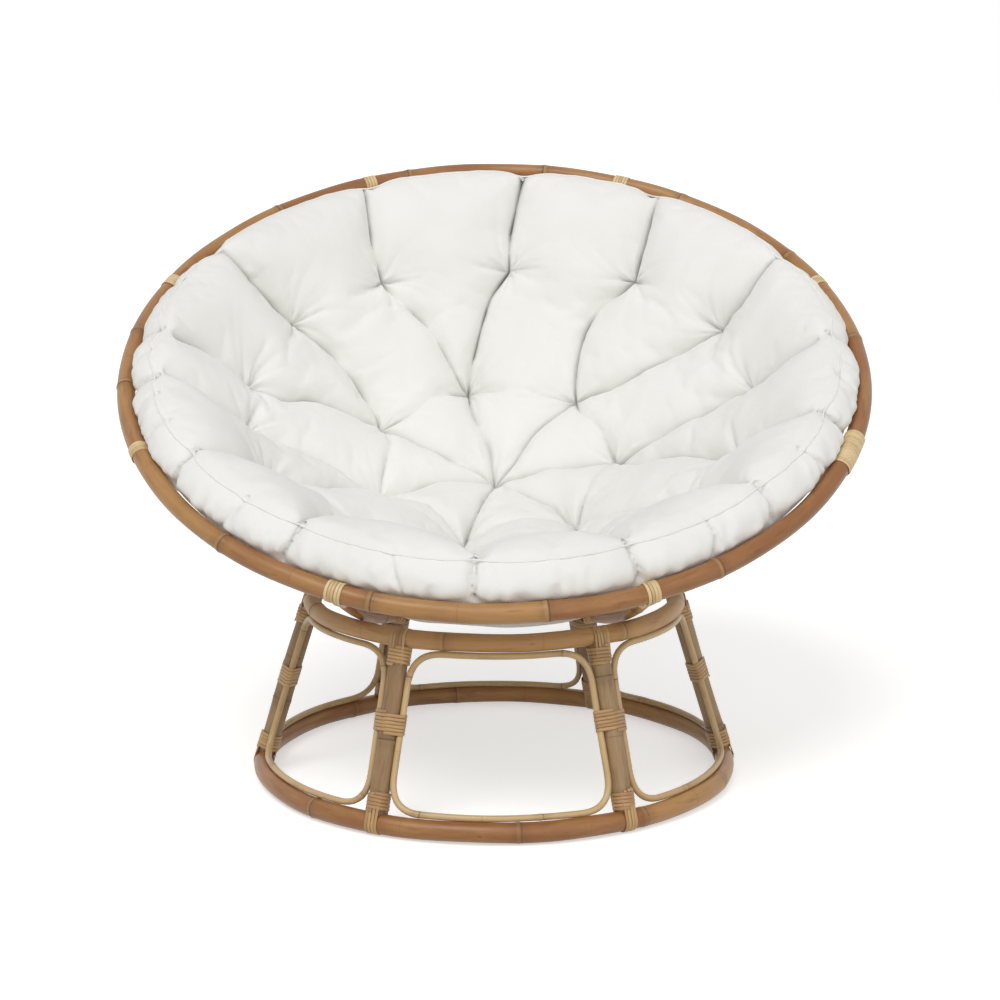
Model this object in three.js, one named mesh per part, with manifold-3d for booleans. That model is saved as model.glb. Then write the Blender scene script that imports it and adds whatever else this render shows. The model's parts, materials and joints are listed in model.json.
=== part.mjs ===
import * as THREE from 'three';
import { mergeVertices } from 'three/addons/utils/BufferGeometryUtils.js';
import Module from 'manifold-3d';

// A papasan chair: a round rattan bowl that lies loose on a rattan base, with a tufted cushion in it.
// Lengths are in millimetres, +Z is up and the chair's front faces -Y.
// Every place round a ring is an angle from the front, growing towards +X.

const wasm = await Module();
wasm.setup();

// Clearances, and the cane that lashes the joints
const clearance = 0.3;
const softClearance = 0.5;
const caneThickness = 1.5;
const caneWidth = 4.1;
const turnGap = 0.6;

// Base: two rings, the posts between them and a bent loop in every panel
const bottomRingRadius = 332;
const bottomRingPole = 13.5;
const topRingRadius = 259;
const topRingPole = 12.4;
const topRingHeight = 251.5;
const baseTurn = THREE.MathUtils.degToRad(2);
const postCount = 6;
const postPole = 13;
const loopPole = 4.5;
const loopCorner = 45;
const copeShare = 0.4;

// Lashings of the base
const topBandWidth = 29;
const topCollarEnd = 34;
const bottomBandWidth = 20;
const bottomCollarEnd = 42;
const middleBandWidth = 31;
const middleBandShare = 0.54;

// Bowl: a rim, the ribs under it, and two rings that hold the ribs
const rimOuterRadius = 550;
const rimPole = 13.5;
const bowlDepth = 302;
const bowlTilt = THREE.MathUtils.degToRad(28.8);
const ribCount = 8;
const ribPole = 10.5;
const hoopPole = 7;
const footRingShare = 0.205;
const hoopShare = 0.6;

// Lashings of the bowl
const rimBandWidth = 23;
const rimCollarEnd = 34;
const footBandWidth = 26;
const footCollarEnd = 32;
const spliceLength = 76;
const spliceRib = 1;

// Cushion: its thickness at the tufts and the puffs, and its boxed edge
const tuftThickness = 71;
const puffThickness = 118;
const centreTuftThickness = 66;
const edgeHeight = 50;
const edgeInset = 35;
const edgeSwell = 9;
const edgeTuckShare = 0.99;
const innerTuftCount = 7;
const tuftTurn = THREE.MathUtils.degToRad(-13);
const outerTuftDrifts = [-6, -5, -5, -4, -8, -10, -12, -9, -3, 3, 5, 7, -3, -7].map(THREE.MathUtils.degToRad);
const innerTuftShare = 0.35;
const outerTuftShare = 0.74;
const tuftReachShare = 0.12;
const creaseReachShare = 0.05;
const creaseDepthShare = 0.62;
const scallopDepth = 7;

// How finely the round forms are faceted
const ringStepsPerPost = 8;
const rimStepsPerRib = 8;
const footStepsPerRib = 4;
const ringSides = 8;
const hoopSides = 6;
const poleSides = 8;
const ribSides = 8;
const loopSides = 6;
const loopCornerSteps = 3;
const bandSides = 8;
const ribSteps = 8;
const seatSphereSteps = 72;
const sectorsPerTuft = 8;
const spliceStepsPerTurn = 14;

// Worked out from the sizes above
const fullTurn = 2 * Math.PI;
const lashing = clearance + caneThickness;
const bottomRingHeight = bottomRingPole + lashing;
const rimRadius = rimOuterRadius - rimPole;
const bowlRadius = (rimRadius ** 2 + bowlDepth ** 2) / (2 * bowlDepth);
const rimDrop = bowlRadius - bowlDepth;
const rimAngle = Math.atan2(rimRadius, rimDrop);
const seatRadius = bowlRadius + ribPole;
const seatReach = seatRadius + clearance + topRingPole;
const seatAngle = Math.asin(topRingRadius / seatReach);
const bowlCentreHeight = topRingHeight + seatReach * Math.cos(seatAngle);
const footAngle = footRingShare * rimAngle;
const hoopAngle = hoopShare * rimAngle;
const hoopReach = bowlRadius - ribPole - clearance - hoopPole;
const footCope = (copeShare * ribPole) / bowlRadius;
const rimCope = (copeShare * rimPole) / bowlRadius;
const cushionReach = bowlRadius - ribPole - lashing - softClearance;
const cushionSectors = innerTuftCount * sectorsPerTuft;

const finishes = {
  pole: new THREE.MeshStandardMaterial({ color: 0xa6764e, roughness: 0.38, metalness: 0 }),
  post: new THREE.MeshStandardMaterial({ color: 0x83684a, roughness: 0.5, metalness: 0 }),
  loop: new THREE.MeshStandardMaterial({ color: 0xab8f67, roughness: 0.45, metalness: 0 }),
  cane: new THREE.MeshStandardMaterial({ color: 0xa88357, roughness: 0.5, metalness: 0 }),
  cloth: new THREE.MeshStandardMaterial({ color: 0xe4e3de, roughness: 0.9, metalness: 0 }),
};

// A closed mesh whose faces point in has a negative volume, summed over its triangles
function facesInward(geometry) {
  const corners = geometry.attributes.position;
  const index = geometry.index;
  const [a, b, c] = [new THREE.Vector3(), new THREE.Vector3(), new THREE.Vector3()];
  let volume = 0;
  for (let i = 0; i < index.count; i += 3) {
    a.fromBufferAttribute(corners, index.getX(i));
    b.fromBufferAttribute(corners, index.getX(i + 1));
    c.fromBufferAttribute(corners, index.getX(i + 2));
    volume += a.dot(b.cross(c));
  }
  return volume < 0;
}

// Bare positions with shared corners, and every face pointing out
function closed(geometry) {
  geometry.deleteAttribute('normal');
  geometry.deleteAttribute('uv');
  const merged = mergeVertices(geometry);
  if (facesInward(merged)) {
    merged.index.array.reverse();
  }
  return merged;
}

function solid(geometry) {
  const shape = closed(geometry);
  return new wasm.Manifold(new wasm.Mesh({
    numProp: 3,
    vertProperties: new Float32Array(shape.attributes.position.array),
    triVerts: new Uint32Array(shape.index.array),
  }));
}

function surface(body) {
  const mesh = body.getMesh();
  const geometry = new THREE.BufferGeometry();
  geometry.setAttribute('position', new THREE.BufferAttribute(mesh.vertProperties, 3));
  geometry.setIndex(new THREE.BufferAttribute(mesh.triVerts, 1));
  return geometry;
}

function piece(name, geometry, finish, turn = 0) {
  const mesh = new THREE.Mesh(geometry, finish);
  mesh.name = name;
  mesh.rotation.z = turn;
  return mesh;
}

// A regular polygon whose flats or corners lie at the radius
function polygon(radius, sides, firstCorner = 0) {
  const corners = [];
  for (let i = 0; i < sides; i += 1) {
    const angle = firstCorner + (fullTurn * i) / sides;
    corners.push(new THREE.Vector2(radius * Math.cos(angle), radius * Math.sin(angle)));
  }
  return corners;
}

// A pole bent to a full ring, level and centred on the Z axis. Its facets touch the true circle
// at their middles, where the joints fall, unless the ring has to stay within that circle.
function poleRing({ radius, height, pole, steps, sides, corner, turn = 0, within = false }) {
  const facetMiddle = within ? 0 : Math.PI / steps;
  const centre = new THREE.Vector2(radius / Math.cos(facetMiddle), height);
  const profile = polygon(pole, sides, corner);
  profile.push(profile[0].clone());
  profile.forEach((point) => point.add(centre));
  return new THREE.LatheGeometry(profile, steps, turn + facetMiddle).rotateX(Math.PI / 2);
}

// A round rod between two points: its corners are at the radius and one faces X, or its flats are
// when it has to clear what is inside it
function rod({ from, to, radius, sides, clears = false }) {
  const along = to.clone().sub(from);
  const reach = clears ? radius / Math.cos(Math.PI / sides) : radius;
  const shape = new THREE.CylinderGeometry(reach, reach, along.length(), sides);
  shape.rotateY(clears ? Math.PI / sides : 0);
  const aim = new THREE.Quaternion().setFromUnitVectors(new THREE.Vector3(0, 1, 0), along.normalize());
  shape.applyQuaternion(aim);
  return shape.translate(...from.clone().add(to).multiplyScalar(1 / 2).toArray());
}

// A curve whose steps fall on the points that it is given
class Stations extends THREE.CatmullRomCurve3 {
  getUtoTmapping(share) {
    return share;
  }
}

// A pole that follows an arc in the plane x = 0, round the centre of the bowl's sphere
class Meridian extends THREE.Curve {
  constructor(reach, from, to) {
    super();
    Object.assign(this, { reach, from, to });
  }

  getPoint(share, target = new THREE.Vector3()) {
    const angle = this.from + (this.to - this.from) * share;
    return target.set(0, -this.reach * Math.sin(angle), -this.reach * Math.cos(angle));
  }
}

function bentPole(path, pole, sides, steps) {
  const section = new THREE.Shape(polygon(pole, sides));
  return new THREE.ExtrudeGeometry(section, { steps, extrudePath: path });
}

// A lashing where a pole meets a ring: cane over the ring and down round the pole's end.
// The joint is drawn at the front, where the ring runs along X.
function jointLashing({ joint, towards, ring, ringPole, pole, poleRadius, band, collarEnd, cut }) {
  const side = new THREE.Vector3(band / 2, 0, 0);
  const over = rod({
    from: joint.clone().sub(side),
    to: joint.clone().add(side),
    radius: ringPole + lashing,
    sides: bandSides,
    clears: true,
  });
  const collar = rod({
    from: joint,
    to: joint.clone().addScaledVector(towards, collarEnd),
    radius: poleRadius + lashing,
    sides: bandSides,
    clears: true,
  });
  return surface(cut(solid(over).add(solid(collar)).subtract(ring).subtract(pole)));
}

// The base

const bottomRing = {
  radius: bottomRingRadius,
  height: bottomRingHeight,
  pole: bottomRingPole,
  steps: postCount * ringStepsPerPost,
  sides: ringSides,
  corner: Math.PI / 2,
};
const topRing = {
  radius: topRingRadius,
  height: topRingHeight,
  pole: topRingPole,
  steps: postCount * ringStepsPerPost,
  sides: ringSides,
  corner: Math.PI / 2 + seatAngle,
};
const postFoot = new THREE.Vector3(0, -bottomRingRadius, bottomRingHeight);
const postHead = new THREE.Vector3(0, -topRingRadius, topRingHeight);
const postLine = postHead.clone().sub(postFoot);
const postLength = postLine.length();
postLine.normalize();

function grown(ring) {
  return solid(poleRing({ ...ring, pole: ring.pole + clearance }));
}

// A pole's coped end reaches this share of the ring's thickness short of the ring's middle
function post() {
  const from = postFoot.clone().addScaledVector(postLine, copeShare * bottomRingPole);
  const to = postHead.clone().addScaledVector(postLine, -copeShare * topRingPole);
  const whole = rod({ from, to, radius: postPole, sides: poleSides });
  return surface(solid(whole).subtract(grown(bottomRing)).subtract(grown(topRing)));
}

function postWithClearance() {
  const ends = postLine.clone().multiplyScalar(topRingPole);
  return solid(rod({
    from: postFoot.clone().sub(ends),
    to: postHead.clone().add(ends),
    radius: postPole + clearance,
    sides: poleSides,
  }));
}

// The ball that the bowl sweeps, with a clearance round it, in the base's frame
function sweptBall() {
  const ball = new THREE.SphereGeometry(
    (seatRadius + clearance) / Math.cos(Math.PI / seatSphereSteps),
    seatSphereSteps,
    seatSphereSteps,
  );
  return solid(ball.rotateX(Math.PI / 2).translate(0, 0, bowlCentreHeight));
}

function topLashing() {
  const ball = sweptBall();
  return jointLashing({
    joint: postHead,
    towards: postLine.clone().negate(),
    ring: grown(topRing),
    ringPole: topRingPole,
    pole: postWithClearance(),
    poleRadius: postPole,
    band: topBandWidth,
    collarEnd: topCollarEnd,
    cut: (body) => body.subtract(ball),
  });
}

function bottomLashing() {
  return jointLashing({
    joint: postFoot,
    towards: postLine,
    ring: grown(bottomRing),
    ringPole: bottomRingPole,
    pole: postWithClearance(),
    poleRadius: postPole,
    band: bottomBandWidth,
    collarEnd: bottomCollarEnd,
    cut: (body) => body,
  });
}

const loopAside = postPole + clearance + loopPole;

// The outline of a band drawn tight round the post and the loop on each side of it
function tightOutline(offset) {
  const reaches = polygon(1, bandSides).map((way) => ({
    way,
    reach: offset + Math.max(postPole, loopAside * Math.abs(way.x) + loopPole),
  }));
  return reaches.map((edge, i) => {
    const next = reaches[(i + 1) % reaches.length];
    const turn = edge.way.cross(next.way);
    return new THREE.Vector2(
      (edge.reach * next.way.y - next.reach * edge.way.y) / turn,
      (next.reach * edge.way.x - edge.reach * next.way.x) / turn,
    );
  });
}

// The loops lie a little inside the post, because the panels follow the rings' curve
function middleLashing() {
  const radius = THREE.MathUtils.lerp(bottomRingRadius, topRingRadius, middleBandShare);
  const inside = clearance + radius * (1 - Math.cos(loopAside / radius));
  const outline = new THREE.Shape(tightOutline(inside + caneThickness));
  outline.holes.push(new THREE.Path(tightOutline(inside)));
  const band = new THREE.ExtrudeGeometry(outline, { depth: middleBandWidth, bevelEnabled: false });
  band.translate(0, 0, -middleBandWidth / 2);
  band.rotateX(-Math.atan2(postLine.y, postLine.z));
  band.translate(...postFoot.clone().lerp(postHead, middleBandShare).toArray());
  return closed(band);
}

// One panel's loop, drawn flat: across is measured round the cone of the posts, up is along a post.
// The cane is bent round from the middle lashing, where its two ends meet.
function loopOutline() {
  const low = bottomRingPole + clearance + loopPole;
  const high = postLength - topRingPole - clearance - loopPole;
  const meet = postLength * middleBandShare;
  const radiusAt = (up) => THREE.MathUtils.lerp(bottomRingRadius, topRingRadius, up / postLength);
  const sideAt = (up) => (radiusAt(up) * Math.PI) / postCount - loopAside;
  const outline = new THREE.Path();
  const corner = (x, y, endX, endY) => outline.quadraticCurveTo(x, y, endX, endY);
  outline.moveTo(sideAt(meet + clearance), meet + clearance);
  outline.lineTo(sideAt(high - loopCorner), high - loopCorner);
  corner(sideAt(high), high, sideAt(high) - loopCorner, high);
  outline.lineTo(loopCorner - sideAt(high), high);
  corner(-sideAt(high), high, -sideAt(high - loopCorner), high - loopCorner);
  outline.lineTo(-sideAt(low + loopCorner), low + loopCorner);
  corner(-sideAt(low), low, loopCorner - sideAt(low), low);
  outline.lineTo(sideAt(low) - loopCorner, low);
  corner(sideAt(low), low, sideAt(low + loopCorner), low + loopCorner);
  outline.lineTo(sideAt(meet), meet);
  return outline;
}

function onCone(across, up) {
  const share = up / postLength;
  const radius = THREE.MathUtils.lerp(bottomRingRadius, topRingRadius, share);
  const height = THREE.MathUtils.lerp(bottomRingHeight, topRingHeight, share);
  const angle = across / radius;
  return new THREE.Vector3(radius * Math.sin(angle), -radius * Math.cos(angle), height);
}

function panelLoop() {
  const stations = [];
  const runs = loopOutline().curves;
  for (const run of runs) {
    const straight = Math.max(1, Math.round(run.getLength() / loopCorner));
    const steps = run.isLineCurve ? straight : loopCornerSteps;
    for (let step = 0; step < steps; step += 1) {
      stations.push(run.getPoint(step / steps));
    }
  }
  stations.push(runs.at(-1).getPoint(1));
  const path = new Stations(stations.map((point) => onCone(point.x, point.y)));
  return closed(bentPole(path, loopPole, loopSides, stations.length - 1));
}

function base() {
  const group = new THREE.Group();
  const shapes = {
    post: post(),
    loop: panelLoop(),
    top: topLashing(),
    middle: middleLashing(),
    bottom: bottomLashing(),
  };
  group.add(piece('base_bottom_ring', closed(poleRing(bottomRing)), finishes.pole));
  group.add(piece('base_top_ring', closed(poleRing(topRing)), finishes.pole));
  for (let i = 0; i < postCount; i += 1) {
    const panel = (fullTurn * i) / postCount;
    const turn = panel + Math.PI / postCount;
    group.add(piece(`base_post_${i + 1}`, shapes.post, finishes.post, turn));
    group.add(piece(`base_loop_${i + 1}`, shapes.loop, finishes.loop, panel));
    group.add(piece(`top_lashing_${i + 1}`, shapes.top, finishes.cane, turn));
    group.add(piece(`middle_lashing_${i + 1}`, shapes.middle, finishes.cane, turn));
    group.add(piece(`bottom_lashing_${i + 1}`, shapes.bottom, finishes.cane, turn));
  }
  group.rotation.z = baseTurn;
  return group;
}

// The bowl, drawn level with the centre of its sphere at the origin

const rim = {
  radius: rimRadius,
  height: -rimDrop,
  pole: rimPole,
  steps: ribCount * rimStepsPerRib,
  sides: ringSides,
  corner: 0,
};
const footRing = {
  radius: bowlRadius * Math.sin(footAngle),
  height: -bowlRadius * Math.cos(footAngle),
  pole: ribPole,
  steps: ribCount * footStepsPerRib,
  sides: ringSides,
  corner: footAngle - Math.PI / 2,
};
const hoop = {
  radius: hoopReach * Math.sin(hoopAngle),
  height: -hoopReach * Math.cos(hoopAngle),
  pole: hoopPole,
  steps: cushionSectors,
  sides: hoopSides,
  corner: hoopAngle - Math.PI / 2,
  turn: tuftTurn,
  within: true,
};

function rib(rimGrowth) {
  const path = new Meridian(bowlRadius, footAngle + footCope, rimAngle - rimCope);
  const whole = solid(bentPole(path, ribPole, ribSides, ribSteps));
  const wrapped = solid(poleRing({ ...rim, pole: rimPole + rimGrowth }));
  return surface(whole.subtract(grown(footRing)).subtract(wrapped));
}

// Longer than the rib by one step at each end
function ribWithClearance() {
  const step = (rimAngle - rimCope - footAngle - footCope) / ribSteps;
  const path = new Meridian(bowlRadius, footAngle + footCope - step, rimAngle - rimCope + step);
  return solid(bentPole(path, ribPole + clearance, ribSides, ribSteps + 2));
}

// A lashing at one end of a rib, its collar lying along the rib
function ribLashing({ ring, angle, inward, ringPole, band, collarEnd, cut }) {
  const place = (at) => new Meridian(bowlRadius, at, at).getPoint(0);
  const joint = place(angle);
  const end = place(angle + (inward * collarEnd) / bowlRadius);
  return jointLashing({
    joint,
    towards: end.sub(joint).normalize(),
    ring: grown(ring),
    ringPole,
    pole: ribWithClearance(),
    poleRadius: ribPole,
    band,
    collarEnd,
    cut,
  });
}

// What the base's top ring rides over stays inside the ball of the ribs
function ribBall() {
  return solid(new THREE.SphereGeometry(seatRadius, seatSphereSteps, seatSphereSteps));
}

function rimLashing() {
  return ribLashing({
    ring: rim,
    angle: rimAngle,
    inward: -1,
    ringPole: rimPole,
    band: rimBandWidth,
    collarEnd: rimCollarEnd,
    cut: (body) => body,
  });
}

function footLashing() {
  const ball = ribBall();
  return ribLashing({
    ring: footRing,
    angle: footAngle,
    inward: 1,
    ringPole: ribPole,
    band: footBandWidth,
    collarEnd: footCollarEnd,
    cut: (body) => body.intersect(ball),
  });
}

// The long winding over the rim's splice: one flat cane, wound as a helix along the rim
function spliceWinding(turn) {
  const pitch = caneWidth + turnGap;
  const turns = Math.round((spliceLength - caneWidth) / pitch);
  const middle = rimPole / Math.cos(Math.PI / ringSides) + clearance + caneThickness / 2;
  const sections = [];
  for (let step = 0; step <= turns * spliceStepsPerTurn; step += 1) {
    const round = (fullTurn * step) / spliceStepsPerTurn;
    const along = pitch * (step / spliceStepsPerTurn - turns / 2);
    sections.push(caneSection(turn, round, along, middle));
  }
  const gap = leastTurnGap(sections);
  console.log(`rim_splice_wrap: ${turns} turns, least gap to itself ${gap.toFixed(2)} mm`);
  return caneTube(sections);
}

// The four corners of the flat cane at one place of the winding
function caneSection(turn, round, along, middle) {
  const corners = [];
  for (const [out, aside] of [[1, 1], [1, -1], [-1, -1], [-1, 1]]) {
    const reach = middle / Math.cos(Math.PI / spliceStepsPerTurn) + (out * caneThickness) / 2;
    const angle = turn + (along + (aside * caneWidth) / 2) / rimRadius;
    const radius = rimRadius + reach * Math.cos(round);
    corners.push(new THREE.Vector3(
      radius * Math.sin(angle),
      -radius * Math.cos(angle),
      reach * Math.sin(round) - rimDrop,
    ));
  }
  return corners;
}

// Between a section's edge and the facing edge one turn on, over all sections
function leastTurnGap(sections) {
  let least = Infinity;
  for (let i = 0; i + spliceStepsPerTurn < sections.length; i += 1) {
    const [outer, , , inner] = sections[i];
    const [, nextOuter, nextInner] = sections[i + spliceStepsPerTurn];
    least = Math.min(least, outer.distanceTo(nextOuter), inner.distanceTo(nextInner));
  }
  return least;
}

// One unbroken tube through the sections, closed at both ends
function caneTube(sections) {
  const sides = sections[0].length;
  const corners = sections.flat().flatMap((corner) => corner.toArray());
  const faces = [];
  const quad = (a, b, c, d) => faces.push(a, b, c, a, c, d);
  for (let i = 0; i + 1 < sections.length; i += 1) {
    for (let side = 0; side < sides; side += 1) {
      const next = (side + 1) % sides;
      quad(i * sides + side, i * sides + next, (i + 1) * sides + next, (i + 1) * sides + side);
    }
  }
  const last = (sections.length - 1) * sides;
  quad(3, 2, 1, 0);
  quad(last, last + 1, last + 2, last + 3);
  const geometry = new THREE.BufferGeometry();
  geometry.setAttribute('position', new THREE.Float32BufferAttribute(corners, 3));
  geometry.setIndex(faces);
  return closed(geometry);
}

function bowl() {
  const group = new THREE.Group();
  const shapes = {
    rib: rib(clearance),
    splicedRib: rib(splicedRibRoom()),
    foot: footLashing(),
    rimBand: rimLashing(),
  };
  group.add(piece('bowl_rim', closed(poleRing(rim)), finishes.pole));
  group.add(piece('bowl_middle_ring', closed(poleRing(hoop)), finishes.pole));
  group.add(piece('bowl_bottom_ring', closed(poleRing(footRing)), finishes.pole));
  let bands = 0;
  for (let i = 0; i < ribCount; i += 1) {
    const turn = (fullTurn * (i + 1 / 2)) / ribCount;
    const spliced = i === spliceRib;
    group.add(piece(`bowl_rib_${i + 1}`, spliced ? shapes.splicedRib : shapes.rib, finishes.pole, turn));
    group.add(piece(`rib_foot_lashing_${i + 1}`, shapes.foot, finishes.cane, turn));
    if (spliced) {
      group.add(piece('rim_splice_wrap', spliceWinding(turn), finishes.cane));
    } else {
      bands += 1;
      group.add(piece(`rim_lashing_${bands}`, shapes.rimBand, finishes.cane, turn));
    }
  }
  return group;
}

// The rib under the splice ends clear of the winding's outermost corner
function splicedRibRoom() {
  const middle = rimPole / Math.cos(Math.PI / ringSides) + clearance + caneThickness / 2;
  const outermost = middle / Math.cos(Math.PI / spliceStepsPerTurn) + caneThickness / 2;
  return (outermost + clearance) / Math.cos(Math.PI / ringSides) - rimPole;
}

// The cushion: a round pillow with a boxed edge, sewn down at rings of tufts, lying in the bowl

// Where the outline of the cushion runs, as reach from the bowl's centre and angle from its axis
function edgeSeam() {
  const radius = rimRadius - rimPole - lashing - softClearance - edgeInset;
  const height = edgeHeight - rimDrop;
  return { angle: Math.atan2(radius, -height), reach: Math.hypot(radius, height) };
}

function edgeTuck() {
  const radius = (rimRadius - rimPole - lashing - softClearance) * edgeTuckShare;
  const angle = Math.asin(Math.min(radius / cushionReach, Math.sin(rimAngle)));
  return { angle, reach: cushionReach };
}

// A place on the cushion as a direction from the bowl's centre
function wayTo(angle, turn) {
  return new THREE.Vector3(
    Math.sin(angle) * Math.sin(turn),
    -Math.sin(angle) * Math.cos(turn),
    -Math.cos(angle),
  );
}

// The tufts are sewn by hand, so the outer ones stray from their even places. Everything past the
// inner tufts drifts with them: the more, the nearer it is to the outer ones.
function drifted(turn, rowShare) {
  const count = outerTuftDrifts.length;
  const place = ((((turn - tuftTurn) / fullTurn) * count + 1 / 2) % count + count) % count;
  const before = Math.floor(place);
  const drift = THREE.MathUtils.lerp(
    outerTuftDrifts[before], outerTuftDrifts[(before + 1) % count], place - before);
  const reach = (rowShare - innerTuftShare) / (outerTuftShare - innerTuftShare);
  return turn + drift * THREE.MathUtils.clamp(reach, 0, 1);
}

// One tuft in the middle, a ring of inner tufts, and two outer tufts to each inner one. Creases
// run from the middle to the inner tufts, on to their outer tufts, and on to the edge.
function sewing() {
  const middle = wayTo(0, 0);
  const tufts = [middle];
  const creases = [];
  const step = fullTurn / innerTuftCount;
  const at = (share, turn) => wayTo(share * rimAngle, drifted(turn, share));
  for (let i = 0; i < innerTuftCount; i += 1) {
    const turn = tuftTurn + i * step;
    const inner = at(innerTuftShare, turn);
    tufts.push(inner);
    creases.push(new THREE.Line3(middle, inner));
    for (const side of [-1, 1]) {
      const outerTurn = turn + (side * step) / 4;
      const outer = at(outerTuftShare, outerTurn);
      const halfway = at((innerTuftShare + outerTuftShare) / 2, (turn + outerTurn) / 2);
      tufts.push(outer);
      creases.push(new THREE.Line3(inner, halfway));
      creases.push(new THREE.Line3(halfway, outer));
      creases.push(new THREE.Line3(outer, at(edgeSeam().angle / rimAngle, outerTurn)));
    }
  }
  return { tufts, creases };
}

// How far the cover stands up at a place: nothing at a tuft, part way along a crease, else full
function puffed(way, { tufts, creases }) {
  const nearest = new THREE.Vector3();
  const tuftAway = Math.min(...tufts.map((tuft) => tuft.angleTo(way)));
  const creaseAway = Math.min(...creases.map((crease) => {
    crease.closestPointToPoint(way, true, nearest);
    return nearest.normalize().angleTo(way);
  }));
  const pull = (away, share) => Math.exp(-((away / (share * rimAngle)) ** 2));
  const held = creaseDepthShare * pull(creaseAway, creaseReachShare);
  return 1 - Math.max(pull(tuftAway, tuftReachShare), held);
}

// The top at one place: lowest at the middle tuft, and rising to the seam past the outer tufts
function topReach(angle, turn, sewn) {
  const seam = edgeSeam();
  const outer = outerTuftShare * rimAngle;
  const nearEdge = THREE.MathUtils.clamp((angle - outer) / (seam.angle - outer), 0, 1);
  const middle = THREE.MathUtils.clamp(angle / (innerTuftShare * rimAngle), 0, 1);
  const low = THREE.MathUtils.lerp(centreTuftThickness, tuftThickness, middle);
  const tuftReach = THREE.MathUtils.lerp(cushionReach - low, seam.reach, nearEdge);
  const crown = (puffThickness - tuftThickness) * Math.sqrt(1 - nearEdge ** 4);
  return tuftReach - crown * puffed(wayTo(angle, turn), sewn);
}

const innerRowShares = [0.3, 0.65, 1];
const middleRowShares = [0.25, 0.5, 0.75, 1];
const outerRowShares = [0.35, 0.7];
const wallRowShares = [0, 0.33, 0.7, 1];
const groovePlateauShare = 1.8;
const grooveFootShare = 5;

// The wall between the two seams, swollen a little between them and pulled in at the creases
function wallPoint(share, column) {
  const seam = edgeSeam();
  const tuck = edgeTuck();
  const wave = Math.cos(2 * innerTuftCount * (column - tuftTurn));
  const scallop = (scallopDepth * (wave - 1)) / 2;
  const top = [seam.reach * Math.sin(seam.angle), -seam.reach * Math.cos(seam.angle)];
  const low = [tuck.reach * Math.sin(tuck.angle), -tuck.reach * Math.cos(tuck.angle)];
  const swell = edgeSwell * Math.sin(Math.PI * share);
  const radius = THREE.MathUtils.lerp(top[0] + scallop, low[0], share) + swell;
  const height = THREE.MathUtils.lerp(top[1] + scallop, low[1], share);
  const turn = drifted(column, 1);
  return new THREE.Vector3(radius * Math.sin(turn), -radius * Math.cos(turn), height);
}

// The underside lies in the bowl and dips over the middle ring
function undersideRows() {
  const plateau = (groovePlateauShare * hoopPole) / hoopReach;
  const foot = (grooveFootShare * hoopPole) / hoopReach;
  const dipped = hoopReach - hoopPole - softClearance;
  const tuck = edgeTuck().angle;
  return [
    [THREE.MathUtils.lerp(hoopAngle + foot, tuck, 1 / 2), cushionReach],
    [hoopAngle + foot, cushionReach],
    [hoopAngle + plateau, dipped],
    [hoopAngle - plateau, dipped],
    [hoopAngle - foot, cushionReach],
    [(hoopAngle - foot) / 2, cushionReach],
  ];
}

// The rows of the top, as shares of the rim's angle: out to the inner tufts, the outer tufts, the seam
function topRows() {
  const seamShare = edgeSeam().angle / rimAngle;
  return [
    ...innerRowShares.map((share) => innerTuftShare * share),
    ...middleRowShares.map((share) => THREE.MathUtils.lerp(innerTuftShare, outerTuftShare, share)),
    ...outerRowShares.map((share) => THREE.MathUtils.lerp(outerTuftShare, seamShare, share)),
  ];
}

// Where a column of points stands in a row: the one nearest a crease between two tufts lies on it
function columnTurn(sector, rowShare) {
  const toOuterTuft = sectorsPerTuft / 4;
  const along = (rowShare - innerTuftShare) / (outerTuftShare - innerTuftShare);
  const crease = along * toOuterTuft;
  const fromTuft = sector - sectorsPerTuft * Math.round(sector / sectorsPerTuft);
  const nearest = THREE.MathUtils.clamp(Math.round(crease), 1, toOuterTuft - 1);
  const moved = along > 0 && along < 1 && Math.abs(fromTuft) === nearest;
  const place = moved ? sector + Math.sign(fromTuft) * (crease - nearest) : sector;
  return tuftTurn + (fullTurn * place) / cushionSectors;
}

function cushion() {
  const sewn = sewing();
  const rows = [];
  const row = (pointAt, rowShare = 0) => {
    rows.push(Array.from({ length: cushionSectors }, (_, sector) => (
      pointAt(columnTurn(sector, rowShare)))));
  };
  for (const share of topRows()) {
    const angle = share * rimAngle;
    row((column) => {
      const turn = drifted(column, share);
      return wayTo(angle, turn).multiplyScalar(topReach(angle, turn, sewn));
    }, share);
  }
  for (const share of wallRowShares) {
    row((column) => wallPoint(share, column));
  }
  for (const [angle, reach] of undersideRows()) {
    row((column) => wayTo(angle, drifted(column, 1)).multiplyScalar(reach));
  }
  const crown = wayTo(0, 0).multiplyScalar(cushionReach - centreTuftThickness);
  return rowsToBody(rows, crown, wayTo(0, 0).multiplyScalar(cushionReach));
}

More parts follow.
